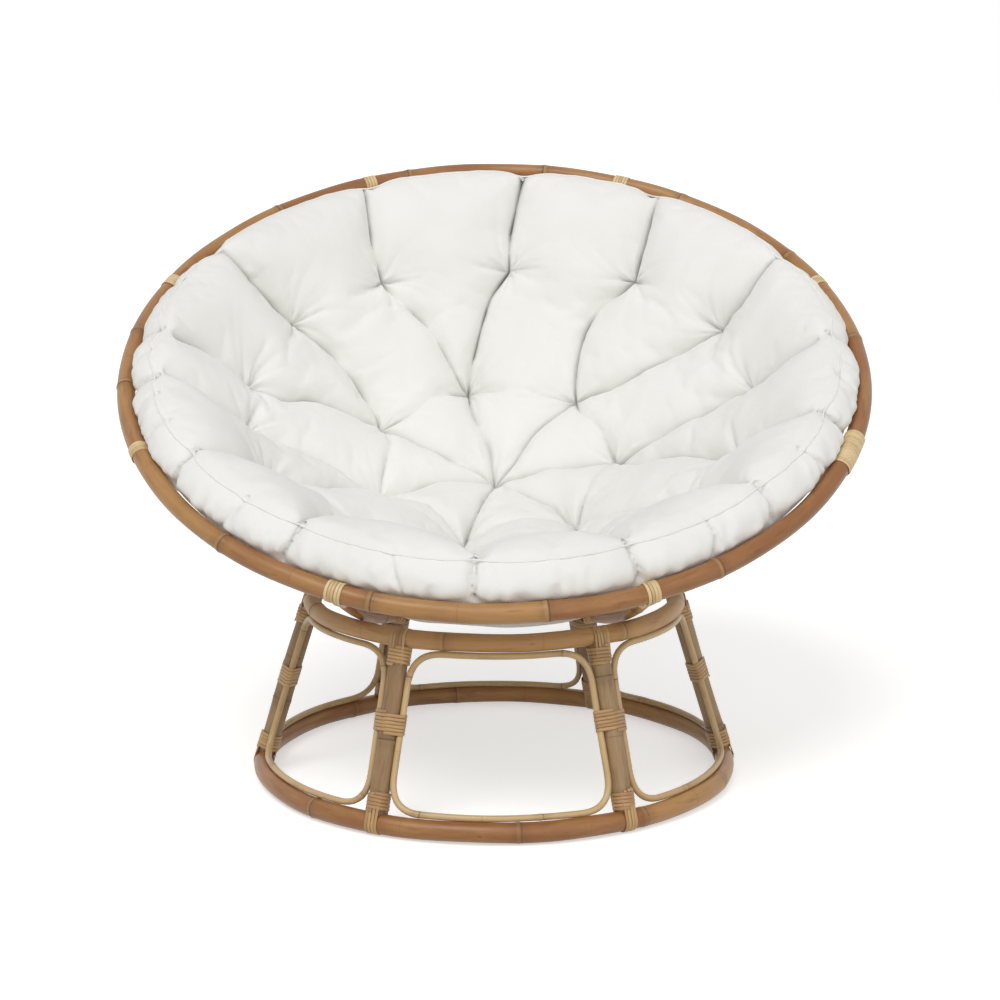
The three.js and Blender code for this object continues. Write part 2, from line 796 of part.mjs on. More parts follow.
// Rows of points joined to a closed body, with one point at each pole. The faces are split along
// the creases, which lean away from each inner tuft.
function rowsToBody(rows, first, last) {
  const count = rows[0].length;
  const corners = [first, ...rows.flat(), last].flatMap((corner) => corner.toArray());
  const at = (row, sector) => 1 + row * count + (sector % count);
  const end = 1 + rows.length * count;
  const faces = [];
  for (let sector = 0; sector < count; sector += 1) {
    faces.push(0, at(0, sector), at(0, sector + 1));
    faces.push(end, at(rows.length - 1, sector + 1), at(rows.length - 1, sector));
    for (let row = 0; row + 1 < rows.length; row += 1) {
      const [a, b] = [at(row, sector), at(row, sector + 1)];
      const [c, d] = [at(row + 1, sector + 1), at(row + 1, sector)];
      const leansOn = sector % sectorsPerTuft < sectorsPerTuft / 2;
      faces.push(...(leansOn ? [a, d, c, a, c, b] : [a, d, b, b, d, c]));
    }
  }
  const geometry = new THREE.BufferGeometry();
  geometry.setAttribute('position', new THREE.Float32BufferAttribute(corners, 3));
  geometry.setIndex(faces);
  return closed(geometry);
}

// The chair: the bowl lies tilted forward on the base, and the whole is centred front to back

const tilted = new THREE.Group();
tilted.add(bowl());
tilted.add(piece('cushion', cushion(), finishes.cloth));
tilted.position.z = bowlCentreHeight;
tilted.rotation.x = bowlTilt;

const chair = new THREE.Group();
chair.add(base());
chair.add(tilted);
const extent = new THREE.Box3().setFromObject(chair, true);
chair.position.y = -(extent.min.y + extent.max.y) / 2;

export default chair;
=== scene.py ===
"""A papasan chair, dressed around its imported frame: rattan poles, cane lashings and a tufted cushion."""

import json
import logging
import math
import random
from dataclasses import dataclass, field
from enum import Enum
from typing import Callable

import bmesh
import bpy
import numpy as np
from mathutils import Matrix, Vector
from mathutils.bvhtree import BVHTree


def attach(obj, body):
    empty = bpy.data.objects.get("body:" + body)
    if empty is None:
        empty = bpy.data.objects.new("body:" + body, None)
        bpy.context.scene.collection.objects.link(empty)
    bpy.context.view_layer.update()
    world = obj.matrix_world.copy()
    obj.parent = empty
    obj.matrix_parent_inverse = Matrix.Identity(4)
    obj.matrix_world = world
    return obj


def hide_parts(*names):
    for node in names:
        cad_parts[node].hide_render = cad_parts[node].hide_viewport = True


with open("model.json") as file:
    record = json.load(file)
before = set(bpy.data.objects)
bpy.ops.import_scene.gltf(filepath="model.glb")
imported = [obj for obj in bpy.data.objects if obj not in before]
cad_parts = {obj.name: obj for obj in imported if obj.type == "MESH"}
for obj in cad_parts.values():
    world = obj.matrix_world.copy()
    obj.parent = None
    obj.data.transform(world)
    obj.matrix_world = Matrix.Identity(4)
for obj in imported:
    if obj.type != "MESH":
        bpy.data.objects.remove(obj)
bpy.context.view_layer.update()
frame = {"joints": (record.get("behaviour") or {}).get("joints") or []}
log = logging.getLogger("papasan")

# The chair's own places, read from the frame: the centre of the bowl's ball and the bowl's axis
JOINTS = {joint["name"]: joint for joint in frame["joints"]}
BALL = Vector(JOINTS["bowl_tilt"]["pos_m"])
BOWL_AXIS = Vector(JOINTS["cushion_lift"]["axis"]).normalized()
TILT = math.atan2(-BOWL_AXIS.y, BOWL_AXIS.z)
BASE_TURN = math.radians(2)

# Driving sizes in metres, the same as the frame's
CLEARANCE = 0.0003
BOTTOM_RING_RADIUS, BOTTOM_RING_POLE, BOTTOM_RING_HEIGHT = 0.332, 0.0135, 0.0153
TOP_RING_RADIUS, TOP_RING_POLE, TOP_RING_HEIGHT = 0.259, 0.0124, 0.2515
POST_COUNT, POST_POLE = 6, 0.013
LOOP_POLE, LOOP_CORNER = 0.0045, 0.045
RIM_RADIUS, RIM_POLE, RIM_DROP = 0.5365, 0.0135, 0.32553
BOWL_RADIUS = math.hypot(RIM_RADIUS, RIM_DROP)
RIB_COUNT, RIB_POLE, SPLICE_RIB = 8, 0.0105, 1
RIM_ANGLE = math.atan2(RIM_RADIUS, RIM_DROP)
FOOT_ANGLE, HOOP_ANGLE = 0.205 * RIM_ANGLE, 0.6 * RIM_ANGLE
HOOP_POLE = 0.007
HOOP_REACH = BOWL_RADIUS - RIB_POLE - CLEARANCE - HOOP_POLE
SEAT_RADIUS = BOWL_RADIUS + RIB_POLE
INNER_SHARE, OUTER_SHARE = 0.35, 0.74
CUSHION_GAP, RIM_GAP = 0.0023, 0.0024
CUSHION_REACH = BOWL_RADIUS - RIB_POLE - CUSHION_GAP
MIDDLE_LASHING_SHARE = 0.54
FULL_TURN = 2 * math.pi

# How a node shows on a rattan: a swelling with a fine groove just past it, and the sections that these need
NODE_OFFSETS = (-0.007, -0.0045, -0.0025, -0.0012, 0.0, 0.0012, 0.0025, 0.0045, 0.007)
NODE_ROOM, NODE_WIDTH, NODE_SHIFT = 0.009, 0.0045, 0.001
GROOVE_DEPTH, GROOVE_WIDTH, GROOVE_SHIFT = 0.0004, 0.0009, 0.0012
POLE_WAVES, POLE_OVAL = (0.31, 0.17), 0.012


class Place(Enum):
    """Which of the chair's two rigid frames a piece is drawn in."""

    BASE = "base"
    BOWL = "bowl"

    def matrix(self) -> Matrix:
        """The frame's place in the row."""
        if self is Place.BASE:
            return Matrix.Translation((0, BALL.y, 0)) @ Matrix.Rotation(BASE_TURN, 4, "Z")
        return Matrix.Translation(BALL) @ Matrix.Rotation(TILT, 4, "X")

    def row(self, points: np.ndarray, directions: bool = False) -> np.ndarray:
        """Moves points drawn in this frame to the row's, or directions, which are only turned."""
        matrix = np.array(self.matrix())
        turned = points @ matrix[:3, :3].T
        return turned if directions else turned + matrix[:3, 3]


def unit(rows: np.ndarray) -> np.ndarray:
    """Vectors scaled to a length of 1."""
    return rows / np.maximum(np.linalg.norm(rows, axis=-1, keepdims=True), 1e-12)


def round_ring(turn: np.ndarray) -> np.ndarray:
    """Directions round the Z axis, from the front (-Y) towards +X."""
    return np.stack([np.sin(turn), -np.cos(turn), np.zeros_like(turn)], axis=-1)


def in_bowl(angle: np.ndarray, turn: np.ndarray) -> np.ndarray:
    """Directions from the ball's centre at an angle from the bowl's axis and a turn round it."""
    angle, turn = np.broadcast_arrays(np.asarray(angle, float), np.asarray(turn, float))
    return np.stack([np.sin(angle) * np.sin(turn), -np.sin(angle) * np.cos(turn), -np.cos(angle)], axis=-1)


@dataclass(frozen=True)
class Route:
    """A line through space, with the way that faces out at each of its points."""

    points: np.ndarray
    outs: np.ndarray

    def measure(self) -> np.ndarray:
        """The distance along the line at each of its points."""
        steps = np.linalg.norm(np.diff(self.points, axis=0), axis=1)
        return np.concatenate([[0.0], np.cumsum(steps)])

    @property
    def length(self) -> float:
        """The whole length in metres."""
        return float(self.measure()[-1])

    def frames(self, distances: np.ndarray) -> tuple[np.ndarray, np.ndarray, np.ndarray]:
        """The line's point, its outward way and its sideways way at each distance.

        Args:
            distances: Distances along the line in metres.

        Returns:
            Three arrays of n by 3.
        """
        at = self.measure()
        pick = lambda rows: np.stack([np.interp(distances, at, rows[:, k]) for k in range(3)], axis=-1)
        along = unit(pick(np.gradient(self.points, at, axis=0)))
        out = pick(self.outs)
        out = unit(out - along * np.sum(out * along, axis=-1, keepdims=True))
        return pick(self.points), out, np.cross(along, out)


def ring_route(place: Place, radius: float, height: float, start: float = 0.0, tip: float = 0.0) -> Route:
    """A full ring round a frame's Z axis.

    Args:
        place: The frame that the ring is drawn in.
        radius: The ring's radius.
        height: Its height.
        start: The turn at which the line starts.
        tip: How far the outward way leans down from level.

    Returns:
        The ring's route.
    """
    turn = start + np.linspace(0, FULL_TURN, 361)
    out = round_ring(turn)
    points = out * radius + np.array([0, 0, height])
    outs = out * math.cos(tip) - np.array([0, 0, math.sin(tip)])
    return Route(place.row(points), place.row(outs, directions=True))


def meridian_route(start: float, end: float, turn: float) -> Route:
    """A rib's line in the bowl, from one angle off the axis to another."""
    angles = np.linspace(start, end, 120)
    ways = in_bowl(angles, turn)
    return Route(Place.BOWL.row(ways * BOWL_RADIUS), Place.BOWL.row(ways, directions=True))


def outside_ball(points: np.ndarray) -> np.ndarray:
    """Presses points of the base out of the ball that the bowl sweeps."""
    away = points - np.array(BALL)
    reach = np.linalg.norm(away, axis=-1, keepdims=True)
    return np.array(BALL) + away * np.maximum(1.0, (SEAT_RADIUS + CLEARANCE) / reach)


def inside_ball(points: np.ndarray) -> np.ndarray:
    """Presses points of the bowl's underside into the ball that it sweeps."""
    away = points - np.array(BALL)
    reach = np.linalg.norm(away, axis=-1, keepdims=True)
    return np.array(BALL) + away * np.minimum(1.0, SEAT_RADIUS / reach)


def above_floor(points: np.ndarray) -> np.ndarray:
    """Presses points up out of the floor."""
    return np.stack([points[:, 0], points[:, 1], np.maximum(points[:, 2], 0.0)], axis=-1)


def anywhere(points: np.ndarray) -> np.ndarray:
    """Leaves points where they are."""
    return points


def smooth(values: np.ndarray, low: float, high: float) -> np.ndarray:
    """Rises smoothly from 0 at low to 1 at high; falls if low is the greater."""
    share = np.clip((values - low) / (high - low), 0, 1)
    return share * share * (3 - 2 * share)


def linked(name: str, data: bpy.types.ID) -> bpy.types.Object:
    """Makes an object of some data and puts it into the scene."""
    made = bpy.data.objects.new(name, data)
    bpy.context.scene.collection.objects.link(made)
    return made


def read_points(mesh: bpy.types.Mesh) -> np.ndarray:
    """A mesh's points as an array of n by 3."""
    flat = np.zeros(len(mesh.vertices) * 3)
    mesh.vertices.foreach_get("co", flat)
    return flat.reshape(-1, 3)


def write_points(mesh: bpy.types.Mesh, points: np.ndarray) -> None:
    """Moves a mesh's points."""
    mesh.vertices.foreach_set("co", np.ascontiguousarray(points, float).ravel())


def store(mesh: bpy.types.Mesh, name: str, values: np.ndarray) -> None:
    """Keeps a number for each point under a name that a material reads."""
    layer = mesh.attributes.new(name, "FLOAT", "POINT")
    layer.data.foreach_set("value", np.asarray(values, np.float32))


class Sheet:
    """A grid of faces that is laid over a form and welded shut where its edges meet."""

    def __init__(self, name: str, rows: int, columns: int) -> None:
        """Makes the flat grid.

        Args:
            name: The piece's name.
            rows: How many faces it has along.
            columns: How many faces it has around.
        """
        self.name, self.rows, self.columns = name, rows, columns
        grid = bmesh.new()
        grid.loops.layers.uv.new("route")
        bmesh.ops.create_grid(grid, x_segments=rows, y_segments=columns, size=1, calc_uvs=True)
        self.mesh = bpy.data.meshes.new(name)
        grid.to_mesh(self.mesh)
        grid.free()
        flat = read_points(self.mesh)
        share = (flat - flat.min(0)) / np.maximum(np.ptp(flat, axis=0), 1e-9)
        self.row = np.rint(share[:, 0] * rows).astype(int)
        self.column = np.rint(share[:, 1] * columns).astype(int)

    def unroll(self, along: np.ndarray, around: np.ndarray) -> None:
        """Measures the UV map in metres, from the distance at each row and at each column of points."""
        layer = self.mesh.uv_layers["route"]
        uv = np.zeros(len(layer.data) * 2)
        layer.data.foreach_get("uv", uv)
        uv = uv.reshape(-1, 2)
        uv[:, 0] = along[np.rint(uv[:, 0] * self.rows).astype(int)]
        uv[:, 1] = around[np.rint(uv[:, 1] * self.columns).astype(int)]
        layer.data.foreach_set("uv", uv.ravel())

    def weld(self, ends: bool = True) -> bpy.types.Object:
        """Welds the grid's meeting edges, closes its ends and returns the object."""
        body = bmesh.new()
        body.from_mesh(self.mesh)
        bmesh.ops.remove_doubles(body, verts=body.verts, dist=1e-6)
        if ends:
            rims = [edge for edge in body.edges if edge.is_boundary]
            bmesh.ops.holes_fill(body, edges=rims, sides=0)
        bmesh.ops.recalc_face_normals(body, faces=body.faces)
        for face in body.faces:
            face.smooth = True
        body.to_mesh(self.mesh)
        body.free()
        return linked(self.name, self.mesh)


@dataclass
class Pole:
    """One rattan pole: a bent stem whose nodes stand out a little and whose thickness wanders."""

    name: str
    route: Route
    radius: float
    nodes: list[float] = field(default_factory=list)
    sides: int = 24
    step: float = 0.012
    press: Callable[[np.ndarray], np.ndarray] = anywhere
    closed: bool = False
    node_swell: float = 0.0006
    wander: float = 0.0003

    def stations(self) -> np.ndarray:
        """Distances along the pole, closer together about its nodes."""
        length = self.route.length
        even = np.linspace(0, length, max(4, round(length / self.step)) + 1)
        close = [node + offset for node in self.nodes for offset in NODE_OFFSETS]
        close = [at for at in close if 0.002 < at < length - 0.002]
        even = [at for at in even if all(abs(at - node) > NODE_ROOM for node in self.nodes)]
        return np.unique(np.round(np.array([0.0, *even, *close, length]), 6))

    def node_gaps(self, at: np.ndarray) -> tuple[np.ndarray, np.ndarray]:
        """The signed distance to the nearest node, and a tone for each length between nodes."""
        if not self.nodes:
            return np.full_like(at, 0.3), np.full_like(at, 0.5)
        nodes = np.array(sorted(self.nodes))
        nearest = nodes[np.argmin(np.abs(at[:, None] - nodes[None, :]), axis=1)]
        dice = random.Random(self.name)
        tones = np.array([dice.random() for _ in range(len(nodes) + 1)])
        if self.closed:
            tones[-1] = tones[0]
        return at - nearest, tones[np.searchsorted(nodes, at)]

    def build(self) -> bpy.types.Object:
        """Makes the pole's mesh.

        Returns:
            The pole, with its UV map in metres and its node_gap and tone attributes.
        """
        stations = self.stations()
        sheet = Sheet(self.name, len(stations) - 1, self.sides)
        gaps, tones = self.node_gaps(stations)
        dice = random.Random(self.name + "s")
        phase = [dice.uniform(0, FULL_TURN) for _ in range(4)]
        length = self.route.length
        waves = [FULL_TURN * max(1, round(length / span)) / length for span in POLE_WAVES]
        swell = self.node_swell * np.exp(-((gaps + NODE_SHIFT) / NODE_WIDTH) ** 2)
        groove = GROOVE_DEPTH * np.exp(-((gaps - GROOVE_SHIFT) / GROOVE_WIDTH) ** 2)
        thick = self.radius + swell - groove
        thick = thick + self.wander * np.sin(waves[0] * stations + phase[0])
        drift = [self.wander * 1.6 * np.sin(wave * stations + turn) for wave, turn in zip(waves, phase[1:3])]
        points, out, side = self.route.frames(stations)
        points = points + out * drift[0][:, None] + side * drift[1][:, None]
        around = FULL_TURN * sheet.column / self.sides
        row = sheet.row
        oval = 1 + POLE_OVAL * np.cos(2 * around + phase[3])
        reach = (thick[row] * oval)[:, None]
        laid = points[row] + reach * (out[row] * np.cos(around)[:, None] + side[row] * np.sin(around)[:, None])
        write_points(sheet.mesh, self.press(laid))
        sheet.unroll(stations, np.linspace(0, FULL_TURN * self.radius, self.sides + 1))
        store(sheet.mesh, "node_gap", gaps[row])
        store(sheet.mesh, "tone", tones[row])
        return sheet.weld(ends=not self.closed)


def node_places(name: str, length: float, spacing: tuple[float, float], first: float | None = None) -> list[float]:
    """Node distances along a pole, unevenly spaced.

    Args:
        name: The pole's name, which seeds the spacing.
        length: The pole's length.
        spacing: The least and greatest distance between nodes.
        first: The first node's distance, or None for one drawn at random.

    Returns:
        The distances from the pole's start.
    """
    dice = random.Random(name)
    at = dice.uniform(0.2, 0.8) * spacing[0] if first is None else first
    places = []
    while at < length - 0.012:
        if at > 0.012:
            places.append(at)
        at += dice.uniform(*spacing)
    return places


@dataclass(frozen=True)
class Cane:
    """The flat split cane that lashes the joints: rounded on its bark side."""

    width: float = 0.0045
    thickness: float = 0.0014
    pitch: float = 0.0047
    sides: int = 10
    step: float = 0.0028

    def profile(self, around: np.ndarray) -> tuple[np.ndarray, np.ndarray]:
        """The section's place aside and outwards, at each share of a turn round it."""
        angle = FULL_TURN * around
        aside = np.sign(np.cos(angle)) * np.abs(np.cos(angle)) ** 0.65 * self.width / 2
        up = np.sin(angle)
        return aside, np.where(up > 0, up * 0.62, up * 0.38) * self.thickness

    def run(self, name: str, route: Route, press: Callable, dice: random.Random) -> bpy.types.Object:
        """Lays one strip along a route.

        Args:
            name: The strip's name.
            route: The middle of the strip and the way that its bark faces.
            press: What keeps it out of its neighbours.
            dice: Draws the strip's tone.

        Returns:
            The strip.
        """
        length = route.length
        stations = np.linspace(0, length, max(4, round(length / self.step)) + 1)
        sheet = Sheet(name, len(stations) - 1, self.sides)
        points, out, side = route.frames(stations)
        aside, up = self.profile(sheet.column / self.sides)
        row = sheet.row
        write_points(sheet.mesh, press(points[row] + side[row] * aside[:, None] + out[row] * up[:, None]))
        sheet.unroll(stations, np.linspace(0, 2 * self.width, self.sides + 1))
        store(sheet.mesh, "tone", np.full(len(row), dice.random()))
        return sheet.weld()


def joined(name: str, parts: list[bpy.types.Object]) -> bpy.types.Object:
    """Puts several strips, which are used up, into one piece."""
    whole = bmesh.new()
    for part in parts:
        whole.from_mesh(part.data)
    mesh = bpy.data.meshes.new(name)
    whole.to_mesh(mesh)
    whole.free()
    for part in parts:
        old = part.data
        bpy.data.objects.remove(part)
        bpy.data.meshes.remove(old)
    return linked(name, mesh)


def hull(circles: list[tuple[float, float, float]], samples: int = 72) -> np.ndarray:
    """The outline of a belt drawn tight round circles.

    Args:
        circles: Each circle's centre, as two numbers, and its radius.
        samples: How many ways the belt is measured in.

    Returns:
        The belt's points, counter-clockwise, n by 2.
    """
    angle = np.linspace(0, FULL_TURN, samples, endpoint=False)
    ways = np.stack([np.cos(angle), np.sin(angle)], axis=-1)
    points = []
    for way in ways:
        x, y, radius = max(circles, key=lambda c: c[0] * way[0] + c[1] * way[1] + c[2])
        points.append((x + radius * way[0], y + radius * way[1]))
    return np.array(points)


@dataclass
class Winding:
    """Turns of one cane round an outline, one beside the other."""

    outline: np.ndarray
    turns: int
    slack: float = 0.00035
    cane: Cane = Cane()

    def run(self, name: str, centre: np.ndarray, across: np.ndarray, over: np.ndarray, along: np.ndarray,
            dice: random.Random, press: Callable = anywhere, bend: Callable | None = None) -> bpy.types.Object:
        """Winds the cane as a helix.

        Args:
            name: The strip's name.
            centre: The middle of the winding.
            across: The outline's first direction.
            over: The outline's second direction.
            along: The direction in which the turns follow each other.
            dice: Draws the turns' small unevenness.
            press: What keeps the cane out of its neighbours.
            bend: Bends the winding along a curved pole: from distance along to centre and directions.

        Returns:
            The winding.
        """
        count = len(self.outline)
        steps = np.arange(self.turns * count + 1)
        flat = self.outline[steps % count]
        ahead = self.outline[(steps + 1) % count] - self.outline[(steps - 1) % count]
        normal = unit(np.stack([ahead[:, 1], -ahead[:, 0]], axis=-1))
        jitter = np.array([dice.uniform(-1, 1) for _ in range(self.turns + 2)])
        lift = np.interp(steps / count, np.arange(self.turns + 2), np.abs(jitter)) * self.slack
        sway = np.interp(steps / count + 0.5, np.arange(self.turns + 2), jitter) * 0.0002
        offset = self.cane.pitch * (steps / count - self.turns / 2) + sway
        flat = flat + normal * (0.38 * self.cane.thickness + lift)[:, None]
        if bend:
            middle, across_now, over_now = bend(offset)
        else:
            middle = centre + offset[:, None] * along
            across_now, over_now = np.broadcast_to(across, middle.shape), np.broadcast_to(over, middle.shape)
        points = middle + flat[:, :1] * across_now + flat[:, 1:] * over_now
        outs = normal[:, :1] * across_now + normal[:, 1:] * over_now
        return self.cane.run(name, Route(points, outs), press, dice)


@dataclass
class JointLashing:
    """Cane over a ring and down a pole's end, held by turns round the pole.

    The ring runs along `along`; the pole leaves it in the direction `away`, and `front` faces out.
    """

    name: str
    joint: np.ndarray
    away: np.ndarray
    front: np.ndarray
    along: np.ndarray
    ring_pole: float
    pole: float
    straps: int
    collar_turns: int
    collar_end: float
    press: Callable[[np.ndarray], np.ndarray] = anywhere
    cane: Cane = Cane()

    def strap(self, aside: float, dice: random.Random) -> bpy.types.Object:
        """One length of cane over the ring, down both sides of the pole.

        Args:
            aside: The strap's distance along the ring from the joint.
            dice: Draws its small unevenness.

        Returns:
            The strap.
        """
        lift = self.cane.thickness * 0.38
        reach = self.ring_pole + lift
        half = math.sqrt(max(self.pole ** 2 - aside ** 2, (0.35 * self.pole) ** 2)) + lift
        end = self.collar_end - dice.uniform(0.001, 0.003)
        touch = math.atan2(half, end) + math.acos(min(1.0, reach / math.hypot(half, end)))
        arc = np.linspace(touch, FULL_TURN - touch, 26)
        curve = np.stack([np.cos(arc), np.sin(arc)], axis=-1)
        down = np.linspace(1, 0, 10, endpoint=False)[:, None]
        front = curve[0] * reach + down * (np.array([end, half]) - curve[0] * reach)
        back = curve[-1] * reach + down[::-1] * (np.array([end, -half]) - curve[-1] * reach)
        flat = np.concatenate([front, curve * reach, back])
        ahead = np.gradient(flat, axis=0)
        normal = unit(np.stack([-ahead[:, 1], ahead[:, 0]], axis=-1))
        if np.sum(normal[len(front) + 13] * curve[13]) < 0:
            normal = -normal
        points = self.joint + aside * self.along + flat[:, :1] * self.away + flat[:, 1:] * self.front
        outs = normal[:, :1] * self.away + normal[:, 1:] * self.front
        return self.cane.run(self.name, Route(points, outs), self.press, dice)

    def build(self) -> bpy.types.Object:
        """Makes the straps and the collar as one piece."""
        dice = random.Random(self.name)
        parts = []
        for i in range(self.straps):
            aside = (i - (self.straps - 1) / 2) * self.cane.pitch + dice.uniform(-1, 1) * 0.0002
            parts.append(self.strap(aside, dice))
        collar = hull([(0, 0, self.pole + self.cane.thickness * 0.9)])
        length = self.collar_turns * self.cane.pitch
        centre = self.joint + (self.collar_end - length / 2 - self.cane.width / 2) * self.away
        winding = Winding(collar, self.collar_turns, cane=self.cane)
        parts.append(winding.run(self.name, centre, self.front, self.along, self.away, dice, self.press))
        return joined(self.name, parts)


@dataclass(frozen=True)
class Hue:
    """A colour as it is seen, from 0 to 255."""

    red: int
    green: int
    blue: int

    def linear(self) -> tuple[float, float, float, float]:
        """The colour as a shader wants it."""
        bend = lambda c: c / 12.92 if c <= 0.04045 else ((c + 0.055) / 1.055) ** 2.4
        return (*(bend(c / 255) for c in (self.red, self.green, self.blue)), 1.0)


class Number:
    """A number in a material's node tree. Its operators add Math nodes."""

    def __init__(self, graph: "Graph", socket: bpy.types.NodeSocket) -> None:
        """Wraps a socket of a graph."""
        self.graph, self.socket = graph, socket

    def __add__(self, other: "Number | float") -> "Number":
        """The sum."""
        return self.graph.maths("ADD", self, other)

    __radd__ = __add__

    def __sub__(self, other: "Number | float") -> "Number":
        """The difference."""
        return self.graph.maths("SUBTRACT", self, other)

    def __rsub__(self, other: float) -> "Number":
        """The difference, from a plain number."""
        return self.graph.maths("SUBTRACT", other, self)

    def __mul__(self, other: "Number | float") -> "Number":
        """The product."""
        return self.graph.maths("MULTIPLY", self, other)

    __rmul__ = __mul__

    def __truediv__(self, other: "Number | float") -> "Number":
        """The quotient."""
        return self.graph.maths("DIVIDE", self, other)

    def function(self, operation: str) -> "Number":
        """A Math node's function of one number, such as SINE."""
        return self.graph.maths(operation, self)

    def ramp(self, low: float, high: float) -> "Number":
        """Rises smoothly from 0 at low to 1 at high; falls if low is the greater."""
        node = self.graph.node("ShaderNodeMapRange", {"interpolation_type": "SMOOTHSTEP"}, {
            "Value": self, "From Min": low, "From Max": high, "To Min": 0.0, "To Max": 1.0})
        return Number(self.graph, node.outputs["Result"])


class Graph:
    """The node tree of one material, or of the world."""

    def __init__(self, owner: bpy.types.Material | bpy.types.World) -> None:
        """Empties the owner's tree."""
        self.owner = owner
        owner.use_nodes = True
        self.tree = owner.node_tree
        self.tree.nodes.clear()

    def node(self, kind: str, settings: dict | None = None, inputs: dict | None = None) -> bpy.types.Node:
        """Adds a node.

        Args:
            kind: The node's type.
            settings: Its settings.
            inputs: The values or links of its sockets, by name or by number.

        Returns:
            The node.
        """
        made = self.tree.nodes.new(kind)
        for key, value in (settings or {}).items():
            setattr(made, key, value)
        for key, value in (inputs or {}).items():
            socket = made.inputs[key]
            source = value.socket if isinstance(value, Number) else value
            if isinstance(source, bpy.types.NodeSocket):
                self.tree.links.new(source, socket)
            else:
                socket.default_value = source
        return made

    def maths(self, operation: str, *values: "Number | float") -> Number:
        """Adds a Math node."""
        node = self.node("ShaderNodeMath", {"operation": operation}, dict(enumerate(values)))
        return Number(self, node.outputs[0])

    def layered(self, base: Hue, *layers: tuple[Number, Hue]) -> bpy.types.NodeSocket:
        """Lays colours over a base, one after another, each as far as its number says."""
        colour = base.linear()
        for factor, hue in layers:
            mixed = self.node("ShaderNodeMix", {"data_type": "RGBA"}, {0: factor, 6: colour, 7: hue.linear()})
            colour = mixed.outputs[2]
        return colour

    def attribute(self, name: str) -> Number:
        """A number kept on the piece's points."""
        node = self.node("ShaderNodeAttribute", {"attribute_name": name})
        return Number(self, node.outputs["Fac"])

    def noise(self, vector: object, scale: float, detail: float = 3.0, roughness: float = 0.55,
              distortion: float = 0.0) -> Number:
        """A cloudy pattern about 0.5."""
        node = self.node("ShaderNodeTexNoise", inputs={
            "Vector": vector, "Scale": scale, "Detail": detail, "Roughness": roughness, "Distortion": distortion})
        return Number(self, node.outputs["Fac"])

    def vector(self, x: object, y: object, z: object) -> bpy.types.NodeSocket:
        """A vector of three numbers."""
        return self.node("ShaderNodeCombineXYZ", inputs={0: x, 1: y, 2: z}).outputs[0]

    def place(self) -> bpy.types.NodeSocket:
        """The point's place on the piece."""
        return self.node("ShaderNodeTexCoord").outputs["Object"]

    def route(self) -> tuple[Number, Number]:
        """The distances along a pole or strip and round it, in metres."""
        uv = self.node("ShaderNodeUVMap", {"uv_map": "route"}).outputs[0]
        parts = self.node("ShaderNodeSeparateXYZ", inputs={0: uv})
        return Number(self, parts.outputs[0]), Number(self, parts.outputs[1])

    def stem(self, radius: float) -> tuple[Number, Number, Number]:
        """The place on a pole: the distance along it and two coordinates round it, in metres."""
        along, around = self.route()
        turn = around / radius
        return along, turn.function("COSINE") * radius, turn.function("SINE") * radius

    def surface(self, settings: dict, bumps: list[tuple[Number, float, float]]) -> bpy.types.Material:
        """Finishes the material.

        Args:
            settings: The shader's sockets.
            bumps: Heights from 0 to 1, with each one's depth in metres and strength, finest last.

        Returns:
            The material.
        """
        normal = None
        for height, depth, strength in bumps:
            inputs = {"Height": height, "Distance": depth, "Strength": strength}
            if normal is not None:
                inputs["Normal"] = normal
            normal = self.node("ShaderNodeBump", inputs=inputs).outputs[0]
        if normal is not None:
            settings = {**settings, "Normal": normal}
        shader = self.node("ShaderNodeBsdfPrincipled", inputs=settings)
        self.node("ShaderNodeOutputMaterial", inputs={"Surface": shader.outputs[0]})
        return self.owner

    def seen(self) -> "Number":
        """1 where the camera looks straight at the surface, or at its reflection, else 0."""
        path = self.node("ShaderNodeLightPath").outputs
        rays = [Number(self, path[f"Is {kind} Ray"]) for kind in ("Camera", "Glossy", "Transmission")]
        return self.maths("MAXIMUM", self.maths("MAXIMUM", rays[0], rays[1]), rays[2])


